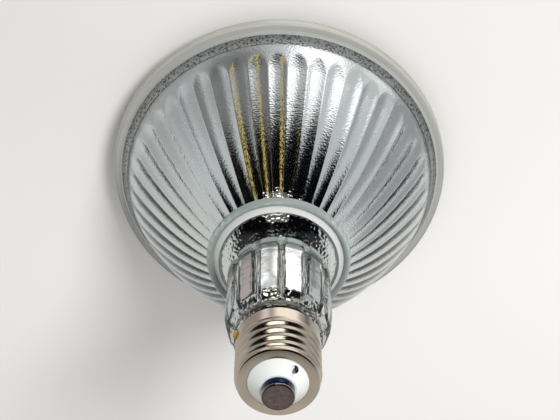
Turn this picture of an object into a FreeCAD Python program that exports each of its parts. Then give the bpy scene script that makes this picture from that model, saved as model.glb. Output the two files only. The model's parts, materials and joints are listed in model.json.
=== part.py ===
"""A pressed-glass metal halide flood lamp that stands on its lens, cap up.

The lamp's axis is +Z. The floor is z = 0, under the lens's foot ring, and every height is a chain of
lengths that starts there. The lobed side of the neck that the solder drop is on faces +X.
"""
import FreeCAD, Part
import math
import os
import Sketcher
from FreeCAD import Placement, Rotation, Vector

SIZES = {
    # Front lens
    "lens_radius": 60.8,
    "lens_top": 6.4,
    "lens_edge_height": 3.4,
    "lens_edge_round": 5.2,
    "lens_edge_width": 4.3,
    "lens_foot_width": 5.5,
    "lens_foot_slope": 1.4,
    "lens_recess": 2.2,
    "lens_crown_gap": 0.5,
    "lens_wall": 3.6,
    "lens_seat_width": 7.8,
    # Seal between lens and reflector
    "seal_depth": 0.7,
    "seal_setback": 0.7,
    "seal_width": 3.7,
    # Pressed reflector
    "flange_setback": 0.4,
    "flange_depth": 3.6,
    "flange_round": 1.2,
    "flange_width": 2.1,
    "bowl_setback": 3.33,
    "bowl_fillet": 1.3,
    "bowl_wall": 4.0,
    "bead_radius": 24.0,
    "bead_rise": 58.9,
    "bead_depth": 1.6,
    "bead_width": 1.6,
    "bead_lean": 0.2,
    "plate_inner_radius": 17.6,
    "plate_slope": 3.0,
    "root_radius": 16.2,
    "root_drop": 2.6,
    "flute_number": 46,
    "flute_angle": 0.5,
    "flute_depth": 0.5,
    "flute_first_rise": 12.2,
    "flute_fade": 5.0,
    "flute_overrun": 2.1,
    # Lobed neck and throat
    "lobe_number": 12,
    "lobe_angle": 3.4,
    "lobe_top_radius": 18.85,
    "lobe_end_radius": 16.1,
    "lobe_chamfer": 5.0,
    "lobe_lip": 1.0,
    "lobe_end_length": 2.2,
    "lobe_length": 27.0,
    "lobe_groove_radius": 2.3,
    "lobe_groove_top": 16.0,
    "lobe_groove_end": 14.4,
    "throat_radius": 13.7,
    "throat_length": 3.0,
    "throat_fillet": 0.7,
    "neck_rise": 104.0,
    "neck_bore_radius": 12.4,
    "neck_bore_taper": 3.0,
    "spigot_radius": 11.2,
    "spigot_length": 6.9,
    "spigot_bore_radius": 8.5,
    # Screw cap
    "cap_gap": 0.7,
    "shell_length": 20.0,
    "shell_sheet": 0.35,
    "collar_radius": 13.2,
    "collar_length": 4.3,
    "thread_mean_radius": 12.72,
    "thread_half_depth": 0.42,
    "thread_pitch": 3.63,
    "thread_first_crest": 5.4,
    "thread_fade": 1.2,
    "lip_radius": 12.9,
    "lip_length": 1.5,
    "lip_edge": 0.4,
    "lip_inner_radius": 9.2,
    "insulator_rise": 3.46,
    "insulator_depth": 5.4,
    "insulator_shoulder_radius": 11.4,
    "insulator_land_radius": 5.6,
    "chip_radius": 1.15,
    "chip_offset": 8.0,
    "chip_angle": 234.3,
    "contact_radius": 5.04,
    "contact_height": 3.24,
    "contact_edge": 0.45,
    "contact_stem_radius": 1.5,
    "contact_stem_length": 4.4,
    "solder_angle": -15.0,
    "solder_width": 1.5,
    "solder_height": 1.25,
    "solder_depth": 0.9,
    "solder_stand": 0.3,
    # Basing and capsule cement, heat shield
    "cement_start_gap": 0.6,
    "cement_length": 6.6,
    "cement_collar_length": 3.1,
    "cement_slot_width": 0.8,
    "cement_thread_radius": 11.8,
    "capsule_cement_setback": 3.0,
    "capsule_cement_length": 12.0,
    "shield_thickness": 0.5,
    "shield_gap": 0.3,
    # Capsule
    "capsule_setback": 7.1,
    "pinch_length": 20.0,
    "pinch_width": 17.0,
    "pinch_thickness": 4.0,
    "bulb_radius": 9.6,
    "bulb_wall": 1.0,
    "bulb_length": 50.0,
    "bulb_shoulder_radius": 5.0,
    "bulb_shoulder_length": 5.0,
    "bulb_tip_radius": 1.5,
    "bulb_tip_length": 1.4,
    # Arc tube
    "arc_setback": 24.0,
    "arc_radius": 4.4,
    "arc_wall": 0.9,
    "arc_half_length": 8.0,
    "arc_end_slope": 2.4,
    "leg_radius": 1.3,
    "leg_bore_radius": 0.45,
    "leg_length": 11.0,
    "feedthrough_radius": 0.38,
    "feedthrough_outside": 2.5,
    "feedthrough_inside": 5.0,
    "electrode_radius": 0.25,
    "electrode_reach": 3.2,
    "electrode_coil_radius": 0.42,
    "electrode_coil_length": 1.6,
    "frit_height": 0.8,
    # Foils, wires and what is on them
    "foil_setback": 3.0,
    "foil_length": 11.0,
    "foil_width": 3.0,
    "foil_thickness": 0.15,
    "lead_spacing": 4.6,
    "frame_wire_radius": 0.4,
    "frame_wire_offset": 7.2,
    "frame_wire_run": 3.5,
    "frame_wire_bend": 1.5,
    "lead_radius": 0.25,
    "lead_bend": 0.6,
    "centre_lead_bend": 3.0,
    "lead_straight": 8.0,
    "side_lead_run": 4.0,
    "side_lead_inset": 2.0,
    "centre_lead_run": 12.0,
    "sleeve_length": 4.6,
    "sleeve_wall": 0.5,
    "frame_sleeve_length": 22.0,
    "frame_sleeve_wall": 0.5,
    "getter_length": 4.0,
    "getter_width": 2.2,
    "getter_thickness": 0.4,
    # Clearance between pieces that sit in one another
    "seat_gap": 0.05,
}

# Heights above the floor, each a chain of lengths
FLANGE_FACE = "lens_top + seal_depth"
FLANGE_TOP = FLANGE_FACE + " + flange_depth"
BEAD = FLANGE_FACE + " + bead_rise"
THROAT_END = FLANGE_FACE + " + neck_rise"
SPIGOT_END = THROAT_END + " + spigot_length"
SHELL_TOP = THROAT_END + " + cap_gap"
SHELL_END = SHELL_TOP + " + shell_length"
CONTACT_BASE = SHELL_END + " + insulator_rise"
CONTACT_TOP = CONTACT_BASE + " + contact_height"
PINCH_END = THROAT_END + " - capsule_setback"
PINCH_START = PINCH_END + " - pinch_length"
BULB_END = PINCH_START + " - bulb_wall"
BULB_FRONT = BULB_END + " - bulb_length"
CAPSULE_CEMENT_END = PINCH_END + " - capsule_cement_setback"
CAPSULE_CEMENT_START = CAPSULE_CEMENT_END + " - capsule_cement_length"
FOIL_END = PINCH_END + " - foil_setback"
FOIL_START = FOIL_END + " - foil_length"
ARC_CENTRE = BULB_END + " - arc_setback"
ARC_FRONT = ARC_CENTRE + " - arc_half_length"
ARC_REAR = ARC_CENTRE + " + arc_half_length"
LEG_FRONT = ARC_FRONT + " - leg_length"
LEG_REAR = ARC_REAR + " + leg_length"

doc = FreeCAD.newDocument("flood_lamp")
sheet = doc.addObject("Spreadsheet::Sheet", "Sizes")
for row, (alias, size) in enumerate(SIZES.items(), start=1):
    sheet.set("A%d" % row, alias.replace("_", " "))
    sheet.set("B%d" % row, str(size))
    sheet.setAlias("B%d" % row, alias)
doc.recompute()

pieces = []


def is_number(word):
    """True for a word such as 2 or 0.5."""
    return word[0].isdigit()


def value(text):
    """The value of a sum such as 'neck_bore_radius - 2*seat_gap', read from the sheet."""
    total = 0.0
    sign = 1.0
    for word in text.split():
        if word in "+-":
            sign = 1.0 if word == "+" else -1.0
            continue
        term = sign
        for factor in word.split("*"):
            term *= float(factor) if is_number(factor) else float(sheet.get(factor))
        total += term
    return total


def formula(text):
    """The same sum as an expression on the sheet's cells."""
    words = []
    for word in text.split():
        if word not in "+-":
            factors = word.split("*")
            word = " * ".join(f if is_number(f) else "Sizes." + f for f in factors)
        words.append(word)
    return " ".join(words)


def keep(piece, label):
    """Names a finished piece after its node."""
    piece.Label = label
    pieces.append(piece)
    return piece


def origin_plane(body, role):
    """The body's own origin plane with this role."""
    return [feature for feature in body.Origin.OriginFeatures if feature.Role == role][0]


def new_sketch(body, name, role, height="0"):
    """A sketch on one of the body's origin planes, raised along the plane's normal."""
    sketch = body.newObject("Sketcher::SketchObject", name)
    sketch.AttachmentSupport = [(origin_plane(body, role), "")]
    sketch.MapMode = "FlatFace"
    if height != "0":
        sketch.setExpression("AttachmentOffset.Base.z", formula(height))
    return sketch


def fix_point(sketch, geometry, position, corner):
    """Holds a point of the sketch at a corner given as two sums."""
    for kind, text, axis in (("DistanceX", corner[0], -2), ("DistanceY", corner[1], -1)):
        if text == "0":
            sketch.addConstraint(Sketcher.Constraint("PointOnObject", geometry, position, axis))
            continue
        limit = Sketcher.Constraint(kind, -1, 1, geometry, position, value(text))
        index = sketch.addConstraint(limit)
        sketch.setExpression("Constraints[%d]" % index, formula(text))


def arc_between(start, end, centre):
    """A circular arc about centre, and whether it runs from start to end by increasing angle."""
    first = math.atan2(start.y - centre.y, start.x - centre.x)
    last = math.atan2(end.y - centre.y, end.x - centre.x)
    forward = (last - first) % (2 * math.pi) < math.pi
    if not forward:
        first, last = last, first
    if last < first:
        last += 2 * math.pi
    circle = Part.Circle(centre, Vector(0, 0, 1), start.distanceToPoint(centre))
    return Part.ArcOfCircle(circle, first, last), forward


def draw_outline(sketch, corners):
    """Draws a closed outline through corners (x, y).

    A corner may end with how its edge arrives: ("dome",) is an arc centred on the sketch's vertical axis,
    and ("round", radius, side) is an arc of that radius whose centre is on the left (1) or right (-1).
    """
    points = [Vector(value(corner[0]), value(corner[1]), 0) for corner in corners]
    ends = []
    for index, corner in enumerate(corners):
        start = points[index - 1]
        end = points[index]
        style = corner[2] if len(corner) > 2 else ("line",)
        if style[0] == "line":
            geometry = sketch.addGeometry(Part.LineSegment(start, end), False)
            ends.append((geometry, 1, 2))
            continue
        if style[0] == "dome":
            height = (end.x ** 2 + end.y ** 2 - start.x ** 2 - start.y ** 2) / (2 * (end.y - start.y))
            centre = Vector(0, height, 0)
        else:
            chord = end - start
            reach = math.sqrt(value(style[1]) ** 2 - chord.Length ** 2 / 4)
            side = Vector(-chord.y, chord.x, 0).normalize() * (style[2] * reach)
            centre = start + chord * 0.5 + side
        arc, forward = arc_between(start, end, centre)
        geometry = sketch.addGeometry(arc, False)
        ends.append((geometry, 1, 2) if forward else (geometry, 2, 1))
        if style[0] == "dome":
            sketch.addConstraint(Sketcher.Constraint("PointOnObject", geometry, 3, -2))
        else:
            limit = Sketcher.Constraint("Radius", geometry, value(style[1]))
            sketch.setExpression("Constraints[%d]" % sketch.addConstraint(limit), formula(style[1]))
    for index, (geometry, first, last) in enumerate(ends):
        following, follow_start, follow_end = ends[(index + 1) % len(ends)]
        joint = Sketcher.Constraint("Coincident", geometry, last, following, follow_start)
        sketch.addConstraint(joint)
        fix_point(sketch, geometry, last, corners[index])


def turned(label, corners):
    """A body of revolution about the lamp's axis, from an outline of (radius, height) corners."""
    body = doc.addObject("PartDesign::Body", label + "_body")
    sketch = new_sketch(body, label + "_outline", "XZ_Plane")
    draw_outline(sketch, corners)
    turn = body.newObject("PartDesign::Revolution", label + "_turn")
    turn.Profile = sketch
    turn.ReferenceAxis = (sketch, ["V_Axis"])
    turn.Angle = 360
    doc.recompute()
    return keep(body, label)


def rectangle(left, right, front, back):
    """Corners of a rectangle from its four limits."""
    return [(left, front), (right, front), (right, back), (left, back)]


def pocket_outline(body, name, corners, top, depth):
    """Cuts an outline from the height top downwards."""
    sketch = new_sketch(body, name + "_sketch", "XY_Plane", top)
    draw_outline(sketch, corners)
    return pocket(body, name, sketch, depth)


def pocket_hole(body, name, centre, radius, top, depth):
    """Cuts a round hole about centre (x, y) from the height top downwards."""
    sketch = new_sketch(body, name + "_sketch", "XY_Plane", top)
    middle = Vector(value(centre[0]), value(centre[1]), 0)
    circle = Part.Circle(middle, Vector(0, 0, 1), value(radius))
    geometry = sketch.addGeometry(circle, False)
    fix_point(sketch, geometry, 3, centre)
    limit = Sketcher.Constraint("Radius", geometry, value(radius))
    sketch.setExpression("Constraints[%d]" % sketch.addConstraint(limit), formula(radius))
    return pocket(body, name, sketch, depth)


def pocket(body, name, sketch, depth):
    """A pocket of the sketch, along -Z."""
    cut = body.newObject("PartDesign::Pocket", name)
    cut.Profile = sketch
    cut.setExpression("Length", formula(depth))
    doc.recompute()
    return cut


def cylinder(name, radius, length, place):
    """A round bar along +Z whose lower end is at place (x, y, z)."""
    bar = doc.addObject("Part::Cylinder", name)
    bar.setExpression("Radius", formula(radius))
    bar.setExpression("Height", formula(length))
    put(bar, place)
    return bar


def put(shape, place):
    """Binds a primitive's place to the sheet."""
    for axis, text in zip("xyz", place):
        if text != "0":
            shape.setExpression("Placement.Base." + axis, formula(text))


def cut(label, base, tool):
    """One shape with another taken away."""
    difference = doc.addObject("Part::Cut", label + "_cut")
    difference.Base = base
    difference.Tool = tool
    doc.recompute()
    return keep(difference, label)


def tube(label, place, bore, wall, length):
    """A plain sleeve along +Z about a wire."""
    outside = cylinder(label + "_outside", bore + " + " + wall, length, place)
    inside = cylinder(label + "_inside", bore, length, place)
    return cut(label, outside, inside)


def shaped(label, shape):
    """A piece whose shape is worked out here from the sheet's sizes."""
    feature = doc.addObject("Part::Feature", label + "_shape")
    feature.Shape = shape
    feature.Placement = Placement()
    return keep(feature, label)


def bent_wire(label, points, radius, bend):
    """A round wire along straight runs joined by tangent arcs of one bend radius."""
    edges = []
    reached = points[0]
    for before, corner, after in zip(points, points[1:], points[2:]):
        arriving = (corner - before).normalize()
        leaving = (after - corner).normalize()
        half_turn = arriving.getAngle(leaving) / 2
        setback = bend * math.tan(half_turn)
        arc_start = corner - arriving * setback
        arc_end = corner + leaving * setback
        inward = (leaving - arriving).normalize()
        middle = corner + inward * (bend / math.cos(half_turn) - bend)
        edges.append(Part.LineSegment(reached, arc_start).toShape())
        edges.append(Part.Arc(arc_start, middle, arc_end).toShape())
        reached = arc_end
    edges.append(Part.LineSegment(reached, points[-1]).toShape())
    section = Part.Circle(points[0], points[1] - points[0], radius).toShape()
    sweep = Part.Wire(edges).makePipeShell([Part.Wire([section])], True, False)
    return shaped(label, sweep)


def spline_knots(count, degree, closed):
    """Evenly spaced knots of a spline with this many control points, and their multiplicities."""
    if closed:
        return list(range(count + 1)), [1] * (count + 1)
    spans = count - degree
    return list(range(spans + 1)), [degree + 1] + [1] * (spans - 1) + [degree + 1]


def spline_surface(poles, around_closed, along_degree=2, weights=None):
    """A surface from a grid of control points, a list of columns, quadratic from column to column."""
    around_knots, around_mults = spline_knots(len(poles), 2, around_closed)
    along_knots, along_mults = spline_knots(len(poles[0]), along_degree, False)
    surface = Part.BSplineSurface()
    surface.buildFromPolesMultsKnots(
        poles, around_mults, along_mults, around_knots, along_knots, around_closed, False, 2, along_degree,
        weights or [[1.0] * len(poles[0])] * len(poles))
    return surface


def patches(surface, around_step, along_step):
    """The surface as faces that each cover a few of its spans both ways."""
    first, last, start, end = surface.bounds()
    faces = []
    for left in range(round(first), round(last), around_step):
        for low in range(round(start), round(end), along_step):
            patch = surface.copy()
            patch.segment(left, min(left + around_step, last), low, min(low + along_step, end))
            faces.append(patch.toShape())
    return faces


def closed_solid(faces):
    """A solid from faces whose edges meet."""
    skin = Part.Compound(faces)
    skin.sewShape()
    solid = Part.Solid(skin.Shells[0])
    if solid.Volume < 0:
        solid.reverse()
    return solid


def polar(radius, angle, height):
    """The point at a radius, an angle in degrees from +X and a height."""
    turn = math.radians(angle)
    return Vector(radius * math.cos(turn), radius * math.sin(turn), height)


def smooth_step(low, high, position):
    """0 below low, 1 above high and a smooth climb between them."""
    share = min(max((position - low) / (high - low), 0.0), 1.0)
    return share * share * (3 - 2 * share)


def front_lens():
    """The clear lens: a shallow dome recessed behind a flat foot ring, and a rounded edge."""
    foot_outer = "lens_radius - lens_edge_width"
    foot_inner = foot_outer + " - lens_foot_width"
    dome_radius = foot_inner + " - lens_foot_slope"
    turned("front_lens", [
        ("0", "lens_crown_gap + lens_wall", ("dome",)),
        ("0", "lens_crown_gap"),
        (dome_radius, "lens_recess", ("dome",)),
        (foot_inner, "0"),
        (foot_outer, "0"),
        ("lens_radius", "lens_edge_height", ("round", "lens_edge_round", 1)),
        ("lens_radius", "lens_top"),
        ("lens_radius - lens_seat_width", "lens_top"),
        (dome_radius, "lens_recess + lens_wall"),
    ])


def lens_seal():
    """The flat ring of sealing compound between lens and reflector."""
    outer = "lens_radius - seal_setback"
    turned("lens_seal", rectangle(outer + " - seal_width", outer, "lens_top", FLANGE_FACE))


def bowl_curve():
    """Focal length and apex height of the bowl's outer parabola, through flange and bead."""
    rim = value("lens_radius - bowl_setback")
    rim_height = value(FLANGE_TOP + " + bowl_fillet")
    bead = value("bead_radius")
    slope = (rim ** 2 - bead ** 2) / (value(BEAD) - rim_height)
    return slope / 4, rim_height + rim ** 2 / slope


def bowl_radius(height):
    """Outer radius of the bowl: r squared is four focal lengths times the depth below the apex."""
    focal, apex = bowl_curve()
    return math.sqrt(4 * focal * (apex - height))


def reflector_outside():
    """The pressed reflector's outer form, solid to the axis: flange, bowl, bead, plate, neck, spigot."""
    flange = value("lens_radius - flange_setback")
    edge = value("flange_round")
    diagonal = edge * (1 - math.sqrt(0.5))
    bottom = value(FLANGE_FACE)
    top = value(FLANGE_TOP)
    bowl_start = value(FLANGE_TOP + " + bowl_fillet")
    bead = value(BEAD)
    samples = 14
    heights = [bowl_start + (bead - bowl_start) * step / samples for step in range(samples + 1)]
    bowl = Part.BSplineCurve()
    bowl.interpolate([Vector(bowl_radius(height), 0, height) for height in heights])
    bead_outer = value("bead_radius")
    bead_inner = value("bead_radius - bead_width")
    bead_top = value(BEAD + " + bead_depth")
    lean = value("bead_lean")
    bead_crown = Part.Arc(
        Vector(bead_outer, 0, bead),
        Vector((bead_outer + bead_inner) / 2 + lean, 0, bead_top),
        Vector(bead_inner, 0, bead_top - lean))
    lobes_end = value(THROAT_END + " - throat_length")
    lobes_start = lobes_end - value("lobe_length")
    lip = value("lobe_lip")
    fillet = value("throat_fillet")
    neck = [
        (bead_inner, bead_top - lean),
        (value("plate_inner_radius"), bead_top - lean + value("plate_slope")),
        (value("root_radius"), lobes_start - value("root_drop")),
        (value("root_radius"), lobes_start - lip / 2),
        (value("lobe_top_radius") - lip, lobes_start + lip / 2),
        (value("lobe_top_radius"), lobes_start + value("lobe_chamfer")),
        (value("lobe_end_radius"), lobes_end - value("lobe_end_length")),
        (value("throat_radius") + fillet, lobes_end),
        (value("throat_radius"), lobes_end + fillet),
        (value("throat_radius"), value(THROAT_END)),
        (value("spigot_radius"), value(THROAT_END)),
        (value("spigot_radius"), value(SPIGOT_END)),
        (0, value(SPIGOT_END)),
        (0, bottom),
        (flange, bottom),
        (flange, top - edge),
    ]
    flange_edge = Part.Arc(
        Vector(flange, 0, top - edge),
        Vector(flange - diagonal, 0, top - diagonal),
        Vector(flange - edge, 0, top))
    flange_top = [
        (flange - edge, top),
        (flange - value("flange_width"), top),
        (bowl_radius(bowl_start), bowl_start),
    ]
    edges = [bowl.toShape(), bead_crown.toShape(), flange_edge.toShape()]
    for run in (neck, flange_top):
        corners = [Vector(radius, 0, height) for radius, height in run]
        edges += [Part.LineSegment(a, b).toShape() for a, b in zip(corners, corners[1:])]
    outline = Part.Wire(Part.__sortEdges__(edges))
    return Part.Face(outline).revolve(Vector(0, 0, 0), Vector(0, 0, 1), 360)


def lobe_grooves():
    """The round grooves that divide the neck into lobes, each a bar that leans with the taper."""
    lobes_end = value(THROAT_END + " - throat_length")
    lobes_start = lobes_end - value("lobe_length")
    radius = value("lobe_groove_radius")
    top = value("lobe_groove_top") + radius
    end = value("lobe_groove_end") + radius
    number = round(value("lobe_number"))
    grooves = []
    for index in range(number):
        angle = 270 - value("lobe_angle") + index * 360 / number
        start = polar(top, angle, lobes_start)
        finish = polar(end, angle, lobes_end)
        lean = (finish - start).normalize()
        reach = value("lobe_chamfer")
        length = start.distanceToPoint(finish) + 2 * reach
        grooves.append(Part.makeCylinder(radius, length, start - lean * reach, lean))
    return grooves


def fluted_cavity():
    """The mirrored inside of the bowl: the outer parabola less the wall, with flutes that bulge inwards.

    Each flute is one face, three control points wide, whose middle ones stand in by twice the depth. The
    middle weight is the cosine of half a flute, which makes a row with no bulge a true circular arc.
    """
    number = round(value("flute_number"))
    wall = value("bowl_wall")
    depth = value("flute_depth")
    low = value(FLANGE_FACE) - 0.6
    first = value(FLANGE_FACE + " + flute_first_rise")
    last = value(BEAD + " + flute_overrun")
    fade = value("flute_fade")
    focal, apex = bowl_curve()
    high = apex - (value("neck_bore_radius") - 1.0 + wall) ** 2 / (4 * focal)
    full = first + fade
    tail = last - fade
    plain = [(low, 0.0), ((low + first) / 2, 0.0), (first, 0.0)]
    fluted = [(full + (tail - full) * step / 4, 1.0) for step in range(5)]
    rows = plain + fluted + [(last, 0.0), (high, 0.0)]
    half = math.pi / number
    columns = []
    for turn, bulge in ((-half, 0.0), (0.0, 2 * depth), (half, 0.0)):
        stretch = 1.0 / math.cos(half - abs(turn))
        column = []
        for height, strength in rows:
            radius = (bowl_radius(height) - wall - bulge * strength) * stretch
            column.append(polar(radius, math.degrees(turn), height))
        columns.append(column)
    weights = [[1.0] * len(rows), [math.cos(half)] * len(rows), [1.0] * len(rows)]
    flute = spline_surface(columns, False, weights=weights).toShape()
    faces = []
    for index in range(number):
        face = flute.copy()
        angle = 270 + value("flute_angle") + 360 * index / number
        face.rotate(Vector(0, 0, 0), Vector(0, 0, 1), angle)
        faces.append(face)
    edges = [edge for face in faces for edge in face.Edges]
    caps = []
    for height in (low, high):
        rim = [edge for edge in edges if abs(edge.BoundBox.ZMin - height) + edge.BoundBox.ZLength < 1e-5]
        caps.append(Part.Face(Part.Wire(Part.__sortEdges__(rim))))
    return closed_solid(faces + caps)


def neck_bore():
    """The bore for the capsule, its taper and the narrower bore through the spigot."""
    focal, apex = bowl_curve()
    wide = value("neck_bore_radius")
    narrow = value("spigot_bore_radius")
    overrun = value("bowl_wall") / 2
    start = apex - (wide + value("bowl_wall")) ** 2 / (4 * focal) - overrun
    taper_end = value(THROAT_END + " - throat_length") + overrun / 2
    taper_start = taper_end - value("neck_bore_taper")
    end = value(SPIGOT_END) + overrun
    corners = [(0, start), (wide, start), (wide, taper_start), (narrow, taper_end), (narrow, end), (0, end)]
    outline = Part.makePolygon([Vector(radius, 0, height) for radius, height in corners + corners[:1]])
    return Part.Face(outline).revolve(Vector(0, 0, 0), Vector(0, 0, 1), 360)


def reflector():
    """The one-piece pressed-glass reflector with its lobed neck."""
    shape = reflector_outside().cut(lobe_grooves())
    shape = shape.cut(fluted_cavity()).cut(neck_bore())
    shaped("reflector", shape)


def thread_radius(angle, height):
    """Outer radius of the shell: the collar, then a cosine of the height, one pitch a turn, then the lip."""
    collar = value("collar_radius")
    mean = value("thread_mean_radius")
    collar_end = value(SHELL_TOP + " + collar_length")
    lip_start = value(SHELL_END + " - lip_length")
    fade = value("thread_fade")
    turns = (height - value(SHELL_TOP + " + thread_first_crest")) / value("thread_pitch") - (angle + 90) / 360
    leaving_collar = smooth_step(collar_end - fade / 3, collar_end + fade, height)
    reaching_lip = smooth_step(lip_start - fade, lip_start, height)
    plain = collar + (mean - collar) * leaving_collar + (value("lip_radius") - mean) * reaching_lip
    strength = leaving_collar * (1 - reaching_lip)
    return plain + value("thread_half_depth") * strength * math.cos(2 * math.pi * turns)


def screw_shell():
    """The rolled-thread shell: threaded skins outside and inside, joined by the top rim and the lip.

    The control points stand out from the radius by the share that the spline between them falls short.
    """
    top = value(SHELL_TOP)
    end = value(SHELL_END)
    sheet_wall = value("shell_sheet")
    lip_start = value(SHELL_END + " - lip_length")
    lip = value("lip_radius")
    lip_inner = value("lip_inner_radius")
    edge = value("lip_edge")
    steps_around = 24
    rows_per_pitch = 6
    stand_out = 4.0 / (3.0 + math.cos(2 * math.pi / steps_around))
    rows = round((lip_start - top) / value("thread_pitch") * rows_per_pitch)
    heights = [top + (lip_start - top) * row / rows for row in range(rows + 1)]
    angles = [360 * step / steps_around for step in range(steps_around)]

    def ring_grid(section):
        return [[polar(radius(a) * stand_out, a, height) for radius, height in section] for a in angles]

    outside = [(lambda angle, z=z: thread_radius(angle, z), z) for z in heights]
    inside = [(lambda angle, z=z: thread_radius(angle, z) - sheet_wall, z) for z in heights]
    turned_in = [
        outside[-1],
        (lambda angle: lip, end - edge),
        (lambda angle: lip - edge, end),
        (lambda angle: lip_inner, end),
        (lambda angle: lip_inner, end - sheet_wall),
        (lambda angle: lip - edge - sheet_wall / 2, end - sheet_wall),
        (lambda angle: lip - sheet_wall, end - edge - sheet_wall / 2),
        inside[-1],
    ]
    faces = []
    for skin in (outside, inside):
        faces += patches(spline_surface(ring_grid(skin), True), 4, 6)
    for pair in list(zip(turned_in, turned_in[1:])) + [(inside[0], outside[0])]:
        faces += patches(spline_surface(ring_grid(pair), True, along_degree=1), 4, 1)
    shaped("screw_shell", closed_solid(faces))


def cap_insulator():
    """The white insulator that fills the shell's end, with a bore for the contact and a chipped notch."""
    under_lip = SHELL_END + " - shell_sheet - seat_gap"
    bore = "contact_stem_radius + seat_gap"
    rim = "lip_inner_radius - seat_gap"
    body = turned("cap_insulator_whole", [
        (bore, SHELL_END + " - insulator_depth"),
        ("insulator_shoulder_radius", SHELL_END + " - insulator_depth"),
        ("insulator_shoulder_radius", under_lip),
        (rim, under_lip),
        (rim, SHELL_END + " + seat_gap"),
        ("insulator_land_radius", CONTACT_BASE),
        (bore, CONTACT_BASE),
    ])
    pieces.remove(body)
    chip = doc.addObject("Part::Sphere", "insulator_chip")
    chip.setExpression("Radius", formula("chip_radius"))
    chip.setExpression("Placement.Base.x", "Sizes.chip_offset * cos(Sizes.chip_angle * 1 deg)")
    chip.setExpression("Placement.Base.y", "Sizes.chip_offset * sin(Sizes.chip_angle * 1 deg)")
    chip.setExpression("Placement.Base.z", formula(SHELL_END + " + 0.5*insulator_rise"))
    cut("cap_insulator", body, chip)


def centre_contact():
    """The button contact: a thick disc on a hollow stem that takes the centre lead."""
    bore = "lead_radius + seat_gap"
    stem_end = CONTACT_BASE + " - contact_stem_length"
    bore_end = CONTACT_TOP + " - 0.5*contact_height"
    turned("centre_contact", [
        (bore, stem_end),
        ("contact_stem_radius", stem_end),
        ("contact_stem_radius", CONTACT_BASE),
        ("contact_radius", CONTACT_BASE),
        ("contact_radius", CONTACT_TOP + " - contact_edge"),
        ("contact_radius - contact_edge", CONTACT_TOP, ("round", "contact_edge", 1)),
        ("0", CONTACT_TOP),
        ("0", bore_end),
        (bore, bore_end),
    ])


def basing_cement():
    """The cement between the glass spigot and the shell, with a slot for the side lead."""
    start = THROAT_END + " + cap_gap + cement_start_gap"
    inner = "spigot_radius + seat_gap"
    collar = "collar_radius - shell_sheet - seat_gap"
    body = turned("basing_cement", [
        (inner, start),
        (collar, start),
        (collar, start + " + cement_collar_length"),
        ("cement_thread_radius", start + " + cement_collar_length + cap_gap"),
        ("cement_thread_radius", start + " + cement_length"),
        (inner, start + " + cement_length"),
    ])
    slot = doc.addObject("Part::Box", "side_lead_slot")
    slot.setExpression("Length", formula("collar_radius"))
    slot.setExpression("Width", formula("cement_slot_width"))
    slot.setExpression("Height", formula("2*cement_length"))
    slot.Placement = Placement(Vector(), Rotation(Vector(0, 0, 1), value("solder_angle")))
    slot.setExpression("Placement.Base.x", "Sizes.cement_slot_width / 2 * sin(Sizes.solder_angle * 1 deg)")
    slot.setExpression("Placement.Base.y", "-Sizes.cement_slot_width / 2 * cos(Sizes.solder_angle * 1 deg)")
    slot.setExpression("Placement.Base.z", formula(THROAT_END))
    pieces.remove(body)
    body.Label = "basing_cement_ring"
    cut("basing_cement", body, slot)


def side_solder():
    """The drop of solder that joins the side lead to the shell's collar."""
    centre = polar(value("collar_radius + solder_stand"), value("solder_angle"), 0)
    drop = doc.addObject("Part::Ellipsoid", "solder_drop")
    drop.setExpression("Radius1", formula("solder_height"))
    drop.setExpression("Radius2", formula("solder_depth"))
    drop.setExpression("Radius3", formula("solder_width"))
    drop.Placement = Placement(centre, Rotation(Vector(0, 0, 1), value("solder_angle")))
    drop.setExpression("Placement.Base.z", formula(SHELL_TOP + " + 0.6*solder_height"))
    seat = cylinder("solder_seat", "collar_radius + 0.4*seat_gap", "shell_length", ("0", "0", THROAT_END))
    cut("side_solder", drop, seat)


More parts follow.
